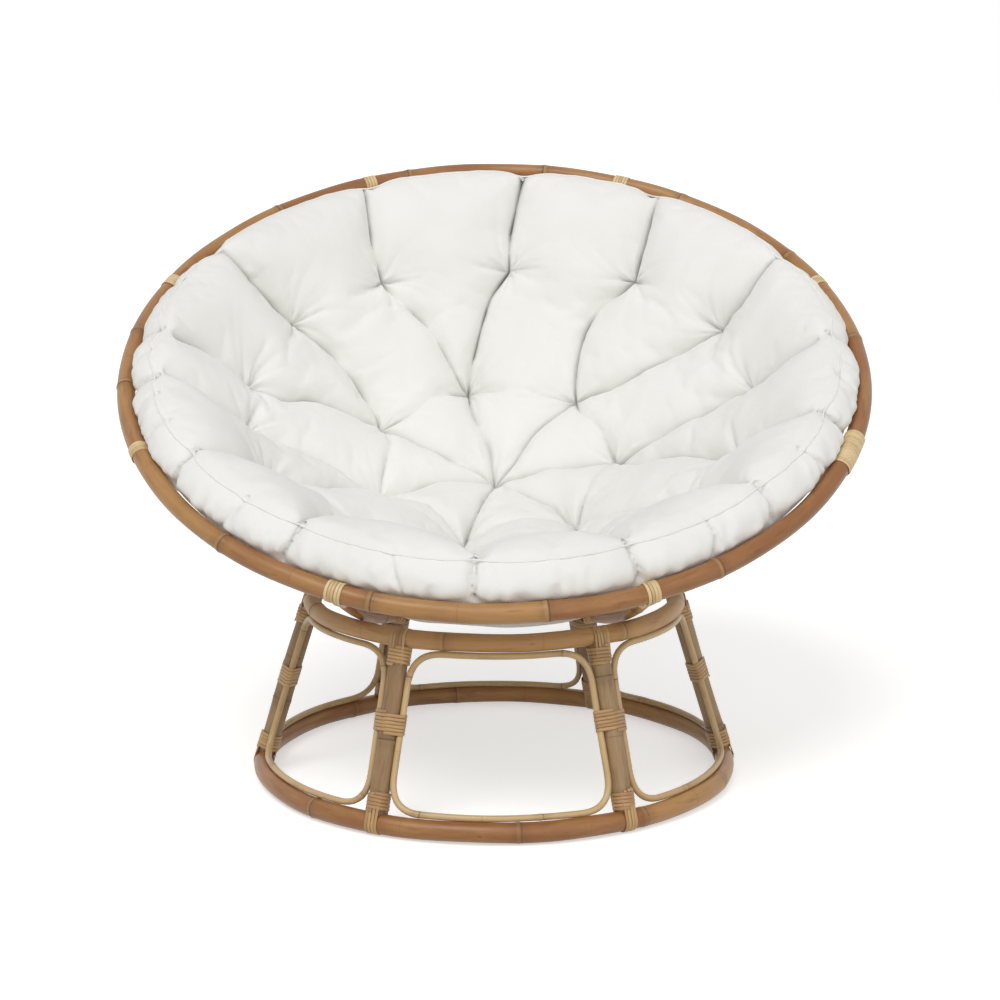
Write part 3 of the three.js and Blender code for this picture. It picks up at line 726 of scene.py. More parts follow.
@dataclass(frozen=True)
class RattanFinish:
    """Varnished rattan: fibres along the stem, drifting browns, dark specks and ringed nodes."""

    name: str
    slot: str
    radius: float
    warm: Hue
    pale: Hue
    deep: Hue
    node_pale: Hue
    node_dark: Hue
    fibre: float
    coat: float
    roughness: float

    def material(self) -> bpy.types.Material:
        """Builds the finish."""
        graph = Graph(bpy.data.materials.new(self.name))
        along, across, over = graph.stem(self.radius)
        tone, gap = graph.attribute("tone"), graph.attribute("node_gap")
        stretched = graph.vector(along * 9.0 + tone * 7.0, across * 60.0, over * 60.0)
        fibres = graph.vector(along * 22.0 + tone * 3.0, across * 1100.0, over * 1100.0)
        drift = graph.noise(stretched, 1.0, 4.0, 0.6)
        fibre = graph.noise(fibres, 1.0, 3.0, 0.65)
        blotch = graph.noise(graph.place(), 11.0, 3.0, 0.55)
        flecks = graph.noise(graph.vector(along * 60.0, across * 420.0, over * 420.0), 1.0, 2.0, 0.5)
        weathered = graph.noise(stretched, 2.3, 2.0, 0.5)
        ragged = gap + (blotch - 0.5) * 0.003 + (fibre - 0.5) * 0.0016
        ring = (ragged + 0.0028).function("ABSOLUTE").ramp(0.0032, 0.0012)
        line = (ragged - 0.0011).function("ABSOLUTE").ramp(0.0011, 0.0004)
        colour = graph.layered(
            self.warm,
            ((drift * 0.55 + blotch * 0.3 + tone * 0.3).ramp(0.38, 0.76), self.pale),
            (fibre.ramp(0.5, 0.8) * self.fibre, self.deep),
            (flecks.ramp(0.7, 0.79) * 0.55, self.node_dark),
            (weathered.ramp(0.56, 0.78) * 0.4, self.deep),
            (ragged.function("ABSOLUTE").ramp(0.02, 0.0) * 0.35, self.deep),
            (ring * (blotch.ramp(0.3, 0.7) * 0.45 + 0.15), self.node_pale),
            (line * (blotch.ramp(0.35, 0.6) * 0.45 + 0.2), self.node_dark))
        rough = fibre * 0.16 + line * 0.2 + (self.roughness - 0.08)
        return graph.surface(
            {"Base Color": colour, "Roughness": rough, "Coat Weight": self.coat, "Coat Roughness": 0.22,
             "Specular IOR Level": 0.3},
            [(drift, 0.0006, 0.35), (1.0 - line, 0.0006, 0.6), (fibre, 0.0003, 0.4)])


@dataclass(frozen=True)
class CaneFinish:
    """Split cane: pale, with fine fibres along it and a tone of its own for each strip."""

    name: str
    slot: str
    pale: Hue
    tan: Hue
    deep: Hue

    def material(self) -> bpy.types.Material:
        """Builds the finish."""
        graph = Graph(bpy.data.materials.new(self.name))
        (along, around), tone = graph.route(), graph.attribute("tone")
        drift = graph.noise(graph.vector(along * 14.0, tone * 9.0, around * 60.0), 1.0, 3.0, 0.5)
        fibre = graph.noise(graph.vector(along * 35.0, tone * 5.0, around * 2600.0), 1.0, 3.0, 0.6)
        spots = graph.noise(graph.place(), 95.0, 2.0, 0.5)
        colour = graph.layered(
            self.pale,
            ((drift * 0.8 + tone * 0.35).ramp(0.35, 0.85), self.tan),
            (fibre.ramp(0.5, 0.85) * 0.45, self.deep),
            (spots.ramp(0.66, 0.8) * 0.4, self.deep))
        return graph.surface(
            {"Base Color": colour, "Roughness": fibre * 0.2 + 0.34, "Coat Weight": 0.15, "Coat Roughness": 0.25},
            [(fibre, 0.0002, 0.5)])


@dataclass(frozen=True)
class ClothFinish:
    """Plain woven cotton, off-white and matt, faintly uneven, with shade painted grey into its creases, tufts and
    pleats.
    """

    name: str
    slot: str
    white: Hue
    shade: Hue
    # The grey of the shade painted into the creases, tufts and pleats
    painted_crease_shade: Hue

    def material(self) -> bpy.types.Material:
        """Builds the finish."""
        graph = Graph(bpy.data.materials.new(self.name))
        place = graph.place()
        cloud = graph.noise(place, 6.0, 3.0, 0.5)
        stretched = graph.node("ShaderNodeMapping", inputs={"Vector": place, "Scale": (420.0, 60.0, 160.0)})
        slubs = graph.noise(stretched.outputs[0], 1.0, 2.0, 0.5)
        threads = graph.noise(place, 900.0, 2.0, 0.6)
        rumple = graph.noise(place, 48.0, 4.0, 0.6, 0.6)
        colour = graph.layered(
            self.white,
            (cloud.ramp(0.35, 0.75) * 0.5 + slubs.ramp(0.5, 0.8) * 0.18, self.shade),
            # Painted shade: a number on the points greys the cloth in its creases, at its tufts and in the edge's
            # pleats
            (graph.attribute("painted_crease_shade") * 0.6, self.painted_crease_shade))
        return graph.surface(
            {"Base Color": colour, "Roughness": 0.86, "Sheen Weight": 0.12, "Sheen Roughness": 0.5},
            [(rumple, 0.0016, 0.16), (threads, 0.0004, 0.35)])


class Finishes:
    """All finishes of the chair, each built once."""

    POLE = RattanFinish("rattan_pole", "rattan_pole", 0.0135, Hue(144, 94, 54), Hue(176, 132, 80),
                        Hue(104, 70, 42), Hue(182, 142, 94), Hue(58, 38, 26), 0.34, 0.18, 0.4)
    # A duller copy of the pole finish for the base's top ring, painted lighter to offset the bowl's shadow on it
    DULL_POLE = RattanFinish("dull_pole", "rattan_pole", 0.0124, Hue(178, 134, 84), Hue(192, 150, 100),
                             Hue(128, 92, 58), Hue(188, 150, 104), Hue(74, 52, 36), 0.4, 0.12, 0.46)
    POST = RattanFinish("rattan_post", "rattan_post", 0.013, Hue(142, 113, 80), Hue(166, 138, 102),
                        Hue(92, 70, 50), Hue(150, 122, 88), Hue(70, 50, 36), 0.75, 0.12, 0.52)
    LOOP = RattanFinish("peeled_loop", "peeled_loop", 0.0045, Hue(186, 153, 106), Hue(200, 170, 124),
                        Hue(140, 108, 72), Hue(196, 168, 124), Hue(104, 74, 48), 0.35, 0.35, 0.42)
    CANE = CaneFinish("binding_cane", "binding_cane", Hue(190, 153, 103), Hue(160, 120, 77), Hue(108, 76, 48))
    PALE_CANE = CaneFinish("pale_cane", "binding_cane", Hue(222, 198, 152), Hue(196, 164, 114), Hue(132, 98, 64))
    # The cloth's last hue is the grey of the shade painted into the cushion's creases, tufts and pleats
    CLOTH = ClothFinish("cushion_cloth", "cushion_cloth", Hue(239, 238, 234), Hue(229, 228, 223), Hue(92, 88, 82))
    built: dict[str, bpy.types.Material] = {}

    @classmethod
    def dress(cls, piece: bpy.types.Object, finish: object) -> bpy.types.Object:
        """Gives a piece its finish."""
        if finish.name not in cls.built:
            cls.built[finish.name] = finish.material()
        piece.data.materials.clear()
        piece.data.materials.append(cls.built[finish.name])
        return piece


@dataclass
class Base:
    """The stand: two rings, six posts, a loop in every panel and the cane at their joints."""

    node_spacing: tuple[float, float] = (0.17, 0.3)

    def keep(self, piece: bpy.types.Object, finish: object, *nodes: str) -> None:
        """Dresses a piece, lets it ride on the base and hides what it stands for."""
        Finishes.dress(piece, finish)
        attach(piece, "base")
        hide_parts(*nodes)
        log.info("base: %s", piece.name)

    def rings(self) -> None:
        """The bottom ring and the top ring, each spliced at the back."""
        for name, radius, pole, height, press, finish in (
                ("base_bottom_ring", BOTTOM_RING_RADIUS, BOTTOM_RING_POLE, BOTTOM_RING_HEIGHT, above_floor,
                 Finishes.POLE),
                # The top ring's finish is painted lighter to offset the bowl's shadow
                ("base_top_ring", TOP_RING_RADIUS, TOP_RING_POLE, TOP_RING_HEIGHT, outside_ball,
                 Finishes.DULL_POLE)):
            route = ring_route(Place.BASE, radius, height, start=math.radians(212))
            nodes = node_places(name, route.length, self.node_spacing)
            pole = Pole(f"{name}_pole", route, pole, nodes, closed=True, press=press)
            self.keep(pole.build(), finish, name)

    def turn(self, k: int) -> float:
        """The turn of the k-th post, from 0."""
        return FULL_TURN * (k + 0.5) / POST_COUNT

    def joint(self, k: int) -> tuple[np.ndarray, np.ndarray, np.ndarray, np.ndarray, np.ndarray]:
        """A post's foot and head, and the directions up it, out of it and along the ring."""
        out, along = round_ring(np.array(self.turn(k))), round_ring(np.array(self.turn(k) + math.pi / 2))
        foot = out * BOTTOM_RING_RADIUS + np.array([0, 0, BOTTOM_RING_HEIGHT])
        head = out * TOP_RING_RADIUS + np.array([0, 0, TOP_RING_HEIGHT])
        up = unit(head - foot)
        front = unit(out - up * np.dot(out, up))
        turned = [Place.BASE.row(v, directions=True) for v in (up, front, along)]
        return (Place.BASE.row(foot), Place.BASE.row(head), *turned)

    def posts(self) -> None:
        """The six posts, with their ends inside the lashings."""
        for k in range(POST_COUNT):
            foot, head, up, front, _ = self.joint(k)
            start, end = foot + up * BOTTOM_RING_POLE * 0.75, head - up * TOP_RING_POLE * 0.75
            share = np.linspace(0, 1, 20)[:, None]
            route = Route(start + share * (end - start), np.tile(front, (20, 1)))
            name = f"base_post_{k + 1}"
            nodes = node_places(name, route.length, (0.13, 0.2), first=0.02 + 0.016 * k)
            pole = Pole(f"{name}_pole", route, POST_POLE, nodes, press=outside_ball)
            self.keep(pole.build(), Finishes.POST, name)

    def loop_route(self, k: int) -> Route:
        """The line of one panel's loop on the cone of the posts, from its top middle round."""
        slant = math.hypot(BOTTOM_RING_RADIUS - TOP_RING_RADIUS, TOP_RING_HEIGHT - BOTTOM_RING_HEIGHT)
        low = BOTTOM_RING_POLE + CLEARANCE + LOOP_POLE
        high = slant - TOP_RING_POLE - CLEARANCE - LOOP_POLE
        radius = lambda up: BOTTOM_RING_RADIUS + (TOP_RING_RADIUS - BOTTOM_RING_RADIUS) * up / slant
        edge = lambda up: radius(up) * math.pi / POST_COUNT - (POST_POLE + CLEARANCE + LOOP_POLE)
        meet = slant * MIDDLE_LASHING_SHARE

        def corner(side: int, up: float, sign: int) -> np.ndarray:
            """One rounded corner's points, from its side edge to its level edge."""
            begin = np.array([side * edge(up - sign * LOOP_CORNER), up - sign * LOOP_CORNER])
            tip = np.array([side * edge(up), up])
            end = np.array([side * (edge(up) - LOOP_CORNER), up])
            share = np.linspace(0, 1, 14)[:, None]
            return (1 - share) ** 2 * begin + 2 * share * (1 - share) * tip + share ** 2 * end

        flat = np.concatenate([
            [[edge(meet), meet]], corner(1, high, 1), corner(-1, high, 1)[::-1],
            corner(-1, low, -1), corner(1, low, -1)[::-1], [[edge(meet), meet - 2 * CLEARANCE]]])
        at = np.concatenate([[0], np.cumsum(np.linalg.norm(np.diff(flat, axis=0), axis=1))])
        fine = np.linspace(0, at[-1], 240)
        flat = np.stack([np.interp(fine, at, flat[:, i]) for i in range(2)], axis=-1)
        share = flat[:, 1] / slant
        reach = BOTTOM_RING_RADIUS + (TOP_RING_RADIUS - BOTTOM_RING_RADIUS) * share
        height = BOTTOM_RING_HEIGHT + (TOP_RING_HEIGHT - BOTTOM_RING_HEIGHT) * share
        turn = FULL_TURN * k / POST_COUNT + flat[:, 0] / reach
        out = round_ring(turn)
        lean = math.atan2(BOTTOM_RING_RADIUS - TOP_RING_RADIUS, TOP_RING_HEIGHT - BOTTOM_RING_HEIGHT)
        outs = out * math.cos(lean) + np.array([0, 0, math.sin(lean)])
        points = out * reach[:, None] + np.array([0, 0, 1]) * height[:, None]
        return Route(Place.BASE.row(points), Place.BASE.row(outs, directions=True))

    def loops(self) -> None:
        """The thin rattan loops."""
        for k in range(POST_COUNT):
            name = f"base_loop_{k + 1}"
            route = self.loop_route(k)
            nodes = node_places(name, route.length, (0.16, 0.26))
            pole = Pole(f"{name}_rattan", route, LOOP_POLE, nodes, sides=14, step=0.007,
                        node_swell=0.0004, wander=0.00012)
            self.keep(pole.build(), Finishes.LOOP, name)

    def lashings(self) -> None:
        """The cane at each post's head, middle and foot."""
        for k in range(POST_COUNT):
            foot, head, up, front, along = self.joint(k)
            name = f"top_lashing_{k + 1}"
            top = JointLashing(f"{name}_cane", head, -up, front, along, TOP_RING_POLE, POST_POLE, 5, 5, 0.039,
                               outside_ball)
            self.keep(top.build(), Finishes.CANE, name)
            name = f"bottom_lashing_{k + 1}"
            low = JointLashing(f"{name}_cane", foot, up, front, -along, BOTTOM_RING_POLE, POST_POLE, 4, 5, 0.042,
                               above_floor)
            self.keep(low.build(), Finishes.CANE, name)
            self.middle_lashing(k, foot, head, up, front, along)

    def middle_lashing(self, k: int, foot: np.ndarray, head: np.ndarray, up: np.ndarray, front: np.ndarray,
                       along: np.ndarray) -> None:
        """The cane round a post and the loops beside it."""
        aside = POST_POLE + CLEARANCE + LOOP_POLE
        radius = BOTTOM_RING_RADIUS + (TOP_RING_RADIUS - BOTTOM_RING_RADIUS) * MIDDLE_LASHING_SHARE
        dip = radius * (1 - math.cos(aside / radius))
        outline = hull([(0, 0, POST_POLE), (-dip, aside, LOOP_POLE), (-dip, -aside, LOOP_POLE)], 96)
        centre = foot + (head - foot) * MIDDLE_LASHING_SHARE
        name = f"middle_lashing_{k + 1}"
        dice = random.Random(name)
        piece = Winding(outline, 6).run(f"{name}_cane", centre, front, along, up, dice)
        self.keep(piece, Finishes.CANE, name)

    def build(self) -> None:
        """Makes the whole stand."""
        self.rings()
        self.posts()
        self.loops()
        self.lashings()


@dataclass
class Bowl:
    """The seat's frame: a rim, eight ribs, two rings that hold them and the cane at their joints."""

    rim_nodes: tuple[float, ...] = (7.5, 33.5, 96.5, 121.5, 146, 171.5, 195.5, 220.5, 262, 276, 318, 343)

    def keep(self, piece: bpy.types.Object, finish: object, *nodes: str) -> None:
        """Dresses a piece, lets it ride on the bowl and hides what it stands for."""
        Finishes.dress(piece, finish)
        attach(piece, "bowl")
        if nodes:
            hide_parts(*nodes)
        log.info("bowl: %s", piece.name)

    def rings(self) -> None:
        """The rim, the middle ring and the bottom ring."""
        splice = FULL_TURN * (SPLICE_RIB + 0.5) / RIB_COUNT
        rim = ring_route(Place.BOWL, RIM_RADIUS, -RIM_DROP, start=splice)
        places = sorted((math.radians(turn) - splice) % FULL_TURN * RIM_RADIUS for turn in self.rim_nodes)
        rim_pole = Pole("bowl_rim_pole", rim, RIM_POLE, places, sides=28, closed=True, node_swell=0.0011)
        self.keep(rim_pole.build(), Finishes.POLE, "bowl_rim")
        for name, reach, angle, pole, spacing in (
                ("bowl_middle_ring", HOOP_REACH, HOOP_ANGLE, HOOP_POLE, (0.16, 0.28)),
                ("bowl_bottom_ring", BOWL_RADIUS, FOOT_ANGLE, RIB_POLE, (0.14, 0.24))):
            route = ring_route(Place.BOWL, reach * math.sin(angle), -reach * math.cos(angle), start=0.3,
                               tip=math.pi / 2 - angle)
            nodes = node_places(name, route.length, spacing)
            ring = Pole(f"{name}_pole", route, pole, nodes, sides=18, closed=True, press=inside_ball,
                        node_swell=0.0005)
            self.keep(ring.build(), Finishes.POLE, name)

    def turn(self, k: int) -> float:
        """The turn of the k-th rib, from 0."""
        return FULL_TURN * (k + 0.5) / RIB_COUNT

    def ribs(self) -> None:
        """The eight ribs, with their ends inside the lashings."""
        for k in range(RIB_COUNT):
            name = f"bowl_rib_{k + 1}"
            start = FOOT_ANGLE + 0.7 * RIB_POLE / BOWL_RADIUS
            room = 1.15 if k == SPLICE_RIB else 0.7
            end = RIM_ANGLE - room * RIM_POLE / BOWL_RADIUS
            route = meridian_route(start, end, self.turn(k))
            nodes = node_places(name, route.length, (0.15, 0.26))
            rib = Pole(f"{name}_pole", route, RIB_POLE, nodes, sides=20, press=inside_ball)
            self.keep(rib.build(), Finishes.POLE, name)

    def joint(self, k: int, angle: float, away: float) -> tuple[np.ndarray, ...]:
        """Where a rib meets a ring: the point, and the ways down the rib, out of the bowl and along the ring."""
        turn = self.turn(k)
        out = in_bowl(angle, turn)
        point = Place.BOWL.row(out * BOWL_RADIUS)
        ahead = in_bowl(angle + 1e-4 * away, turn) - out
        along = round_ring(np.array(turn + math.pi / 2))
        turned = [Place.BOWL.row(v, directions=True) for v in (unit(ahead), out, along)]
        return (point, *turned)

    def lashings(self) -> None:
        """The cane at both ends of each rib and where it crosses the middle ring."""
        band = 0
        for k in range(RIB_COUNT):
            point, away, out, along = self.joint(k, FOOT_ANGLE, 1)
            name = f"rib_foot_lashing_{k + 1}"
            foot = JointLashing(f"{name}_cane", point, away, out, along, RIB_POLE, RIB_POLE, 4, 4, 0.033,
                                inside_ball)
            self.keep(foot.build(), Finishes.CANE, name)
            self.crossing(k)
            if k == SPLICE_RIB:
                self.splice(k)
                continue
            band += 1
            point, away, out, along = self.joint(k, RIM_ANGLE, -1)
            name = f"rim_lashing_{band}"
            rim = JointLashing(f"{name}_cane", point, away, out, along, RIM_POLE, RIB_POLE, 4 + k % 2, 3, 0.034,
                               inside_rim)
            self.keep(rim.build(), Finishes.PALE_CANE, name)

    def splice(self, k: int) -> None:
        """The long winding over the rim's splice."""
        outline = hull([(0, 0, RIM_POLE + 0.0003)], 48)
        turns = 16

        def bend(offset: np.ndarray) -> tuple[np.ndarray, np.ndarray, np.ndarray]:
            """Bends the winding along the rim."""
            out = round_ring(self.turn(k) + offset / RIM_RADIUS)
            middle = out * RIM_RADIUS - np.array([0, 0, RIM_DROP])
            up = np.broadcast_to(np.array([0.0, 0.0, 1.0]), out.shape)
            return (Place.BOWL.row(middle), Place.BOWL.row(out, directions=True),
                    Place.BOWL.row(up, directions=True))

        zero = np.zeros(3)
        piece = Winding(outline, turns).run("rim_splice_cane", zero, zero, zero, zero,
                                            random.Random("splice"), bend=bend)
        self.keep(piece, Finishes.PALE_CANE, "rim_splice_wrap")

    def crossing(self, k: int) -> None:
        """Two slanting bands of cane where a rib crosses the middle ring."""
        turn = self.turn(k)
        out = in_bowl(HOOP_ANGLE, turn)
        ahead = unit(in_bowl(HOOP_ANGLE + 1e-4, turn) - out)
        along = round_ring(np.array(turn + math.pi / 2))
        out, ahead, along = (Place.BOWL.row(v, directions=True) for v in (out, ahead, along))
        centre = np.array(BALL) + out * HOOP_REACH
        root = math.sqrt(2)
        rib = [(x * RIB_POLE * root * 0.55, HOOP_POLE + CLEARANCE + RIB_POLE, RIB_POLE * 0.93) for x in (-1, 1)]
        hoop = [(x * HOOP_POLE * root * 0.45, 0.0, HOOP_POLE) for x in (-1, 1)]
        outline = hull(rib + hoop, 64)
        dice = random.Random(f"crossing_{k}")
        parts = []
        for side in (-1, 1):
            across, onward = (along + side * ahead) / root, (ahead - side * along) / root
            winding = Winding(outline, 3, cane=Cane(thickness=0.0011))
            parts.append(winding.run(f"crossing_{k}_{side}", centre, across, out, onward, dice, inside_ball))
        self.keep(joined(f"middle_ring_lashing_{k + 1}_cane", parts), Finishes.CANE)

    def build(self) -> None:
        """Makes the bowl's frame."""
        self.rings()
        self.ribs()
        self.lashings()


def inside_rim(points: np.ndarray) -> np.ndarray:
    """Leaves the rim's cane free over the rim, and presses it into the ball lower down the ribs."""
    away = points - np.array(BALL)
    depth = -away @ np.array(BOWL_AXIS)
    pressed = inside_ball(points)
    return np.where((depth > RIM_DROP + RIM_POLE)[:, None], pressed, points)


@dataclass(frozen=True)
class Tuft:
    """A place where the cushion is sewn down.

    Its crease to the edge may lean aside, the one from its inner neighbour may be bowed, and its creases may be
    pulled more or less than the others.
    """

    turn: float
    share: float
    lean: float = 0.0
    pull: float = 1.0
    bow: float = 0.0

    def way(self) -> np.ndarray:
        """Its direction from the ball's centre, in the bowl's frame."""
        return in_bowl(np.array(self.share * RIM_ANGLE), np.array(math.radians(self.turn)))


def bake(piece: bpy.types.Object) -> None:
    """Applies a piece's modifiers to its mesh."""
    graph = bpy.context.evaluated_depsgraph_get()
    mesh = bpy.data.meshes.new_from_object(piece.evaluated_get(graph), depsgraph=graph)
    piece.modifiers.clear()
    old, piece.data = piece.data, mesh
    bpy.data.meshes.remove(old)


def in_bowl_frame(points: np.ndarray) -> np.ndarray:
    """Turns points of the row's frame into the bowl's."""
    matrix = np.array(Place.BOWL.matrix())
    return (points - matrix[:3, 3]) @ matrix[:3, :3]


def round_axis(local: np.ndarray) -> tuple[np.ndarray, np.ndarray]:
    """The distance from the Z axis and the turn round it, for each point."""
    return np.hypot(local[:, 0], local[:, 1]), np.arctan2(local[:, 0], -local[:, 1])


@dataclass(frozen=True)
class Stuffing:
    """How the cover is filled, how much cloth it has to spare and how far it may swell."""

    # The cloth: the size of its faces, its weight and how it resists being stretched, sheared, bent and let go
    voxel: float = 0.008
    mass: float = 0.05
    stretching: float = 12.0
    shearing: float = 4.0
    bending: float = 0.8
    pinning: float = 3.0
    # The filling: its pressure, the share of spare cloth, the frames that it works for and the most that it moves
    pressure: float = 5.0
    ease: float = 0.015
    frames: int = 20
    cap: float = 0.028
    # The share of faces that is kept underneath
    under_share: float = 0.6

    def fill(self, cover: bpy.types.Object, held: Callable[[np.ndarray], np.ndarray],
             press: Callable[[np.ndarray], np.ndarray]) -> None:
        """Swells a closed cover by simulation and holds it where it is sewn.

        Args:
            cover: The cover, a little smaller than it ends up.
            held: How firmly each point is held, from 0 to 1.
            press: What keeps the swollen cover out of its neighbours.
        """
        remesh = cover.modifiers.new("voxels", "REMESH")
        remesh.mode, remesh.voxel_size = "VOXEL", self.voxel
        bake(cover)
        start = read_points(cover.data)
        group = cover.vertex_groups.new(name="held")
        weights = np.round(held(start), 2)
        for level in np.unique(weights[weights > 0]):
            group.add(np.flatnonzero(weights == level).tolist(), float(level), "REPLACE")
        cloth = cover.modifiers.new("filling", "CLOTH")
        settings = cloth.settings
        settings.quality, settings.mass = 4, self.mass
        settings.use_pressure, settings.uniform_pressure_force = True, self.pressure
        settings.shrink_min = -self.ease
        settings.tension_stiffness = settings.compression_stiffness = self.stretching
        settings.shear_stiffness, settings.bending_stiffness = self.shearing, self.bending
        settings.vertex_group_mass = "held"
        settings.pin_stiffness = self.pinning
        settings.effector_weights.gravity = 0
        cloth.collision_settings.use_collision = False
        cloth.point_cache.frame_start, cloth.point_cache.frame_end = 1, self.frames
        scene = bpy.context.scene
        for frame_number in range(1, self.frames + 1):
            scene.frame_set(frame_number)
        graph = bpy.context.evaluated_depsgraph_get()
        swollen = read_points(cover.evaluated_get(graph).data)
        cover.modifiers.clear()
        scene.frame_set(1)
        moved = swollen - start
        far = np.linalg.norm(moved, axis=1, keepdims=True)
        loose = weights < 1
        log.info("cushion: %d points, moved %.1f mm on average and %.1f mm at most", len(start),
                 1000 * far[loose].mean(), 1000 * far.max())
        moved *= np.minimum(1.0, self.cap / np.maximum(far, 1e-9))
        write_points(cover.data, press(start + moved))
        finer = cover.modifiers.new("finer", "SUBSURF")
        finer.levels = finer.render_levels = 1
        bake(cover)


def clear_of_rim(points: np.ndarray) -> np.ndarray:
    """Presses points of the cushion off the rim and its cane."""
    local = in_bowl_frame(points)
    radius, turn = round_axis(local)
    aside, height = radius - RIM_RADIUS, local[:, 2] + RIM_DROP
    grow = np.maximum(1.0, (RIM_POLE + RIM_GAP) / np.maximum(np.hypot(aside, height), 1e-9))
    pressed = round_ring(turn) * (RIM_RADIUS + aside * grow)[:, None]
    pressed[:, 2] = height * grow - RIM_DROP
    return Place.BOWL.row(pressed)


# Waves over the cover's directions, by which its creases wander from their straight lines
CREASE_WAVES = np.array([[19.0, 7.0, -11.0], [-9.0, 21.0, 6.0], [8.0, -13.0, 17.0]])


@dataclass
class Cushion:
    """The pillow: a top sewn down at its tufts, a boxed edge, and an underside that lies in the bowl."""

    # Where it is sewn and pleated: turns in degrees, from the front
    inner: tuple[Tuft, ...] = (Tuft(-13, INNER_SHARE), Tuft(38.4, INNER_SHARE), Tuft(92, 0.335),
                               Tuft(140.6, 0.362), Tuft(-166.9, 0.337), Tuft(-116.3, 0.359), Tuft(-64, 0.345))
    outer: tuple[Tuft, ...] = (
        Tuft(-32, OUTER_SHARE), Tuft(-5.5, OUTER_SHARE, lean=3),
        Tuft(21, OUTER_SHARE), Tuft(47.7, OUTER_SHARE, lean=-1),
        Tuft(69, OUTER_SHARE, lean=1), Tuft(93, 0.765, lean=-1),
        Tuft(116.4, 0.772, lean=1.5), Tuft(144.9, 0.756, lean=4.5, bow=-0.045),
        Tuft(176.6, 0.717, lean=-2, pull=1.2, bow=-0.015), Tuft(-150.9, 0.73, lean=-5, pull=0.9, bow=0.018),
        Tuft(-123.6, OUTER_SHARE, lean=4, pull=1.35, bow=0.055), Tuft(-96.3, 0.737, lean=3),
        Tuft(-80.1, 0.73), Tuft(-58.7, OUTER_SHARE, lean=1))
    edge_pleats: tuple[float, ...] = (-14, 33, 60, 81, -44, -66, -73, -86, -110)
    wander: float = 0.014
    # Depths and widths of the edge's pleats
    deep_pleat: tuple[tuple[float, float], ...] = ((0.012, 0.003), (0.006, 0.014))
    small_pleat: tuple[tuple[float, float], ...] = ((0.008, 0.003), (0.004, 0.011))
    # The upper seam's radius and height over the rim at the front, and how they change to the sides and the back
    seam_radius: float = 0.4842
    side_wider: float = 0.008
    back_wider: float = 0.011
    seam_height: float = 0.053
    back_lower: float = 0.027
    # How thick it is at its tufts, at its middle and where it is fullest, and how far its edge stands out
    tuft_depth: float = 0.071
    centre_depth: float = 0.066
    puff_depth: float = 0.112
    swell: tuple[float, float] = (0.0235, 0.007)
    scallop: float = 0.009
    # How far the swollen cloth is drawn in: along a crease, beside it, at a tuft and in the folds about a tuft
    groove: float = 0.018
    furrow: float = 0.007
    pit: float = 0.014
    fold: float = 0.0105
    # The angle off the axis at which the boxed edge starts, and the length over which drawing in sets in
    edge_angle: float = 0.96
    blend: float = 0.012
    # The distance from the ball's centre at which widths on the cover are measured
    arm: float = 0.55
    # How firmly creases and seam are held in the simulation, and how wide a tuft is
    crease_hold: float = 0.8
    seam_hold: float = 0.6
    tuft_width: float = 0.008
    # Faces of the mesh before it is filled
    top_rows: int = 150
    wall_rows: int = 14
    under_rows: int = 40
    columns: int = 420
    # The stitched ridge's radius, and how far the underside dips at the tufts and swells between the ribs
    bead: float = 0.0013
    dimple: float = 0.011
    bulge: float = 0.008
    stuffing: Stuffing = Stuffing()

    def seam(self, turn: np.ndarray) -> tuple[np.ndarray, np.ndarray]:
        """The upper seam's radius and its height over the rim, which sinks towards the back."""
        back = np.clip((-np.cos(turn) + 0.1) / 1.1, 0, 1) ** 2
        aside = np.abs(np.sin(turn)) ** 4
        radius = self.seam_radius + self.back_wider * back + self.side_wider * aside
        height = self.seam_height - self.back_lower * back
        pull = self.scallop * np.exp(-self.from_outer(turn) / 0.02)
        return radius - pull, height - 0.6 * pull

    def from_outer(self, turn: np.ndarray) -> np.ndarray:
        """The distance along the edge to the nearest outer tuft's crease."""
        return self.from_turns(turn, [tuft.turn + tuft.lean for tuft in self.outer])

    def from_turns(self, turn: np.ndarray, places: list[float]) -> np.ndarray:
        """The distance along the edge to the nearest of some turns."""
        apart = np.abs((turn[:, None] - np.radians(places)[None] + math.pi) % FULL_TURN - math.pi)
        return 0.49 * np.min(apart, axis=1)

    def creases(self) -> list[tuple[np.ndarray, np.ndarray, tuple[float, float, float], float]]:
        """The creases' two ends as directions, how deep each one is at its ends and middle, and its bow."""
        middle = np.array([0.0, 0.0, -1.0])
        lines = []
        for k, tuft in enumerate(self.inner):
            lines.append((middle, tuft.way(), (0.8, 0.55, 0.9), 0.0))
            lines.append((tuft.way(), self.inner[k - 1].way(), (0.7, 0.1, 0.7), 0.0))
            for outer in self.outer[2 * k:2 * k + 2]:
                lines.append((tuft.way(), outer.way(), (outer.pull, 0.68 * outer.pull, outer.pull), outer.bow))
        for k, outer in enumerate(self.outer):
            foot = Tuft(outer.turn + outer.lean, 1.01).way()
            lines.append((outer.way(), foot, (outer.pull, 0.9 * outer.pull, 0.8 * outer.pull), 0.0))
            lines.append((outer.way(), self.outer[k - 1].way(), (0.6, -0.35, 0.6), 0.0))
        return lines

    def tuft_ways(self) -> np.ndarray:
        """The directions of all tufts."""
        return np.array([np.array([0.0, 0.0, -1.0])] + [t.way() for t in (*self.inner, *self.outer)])

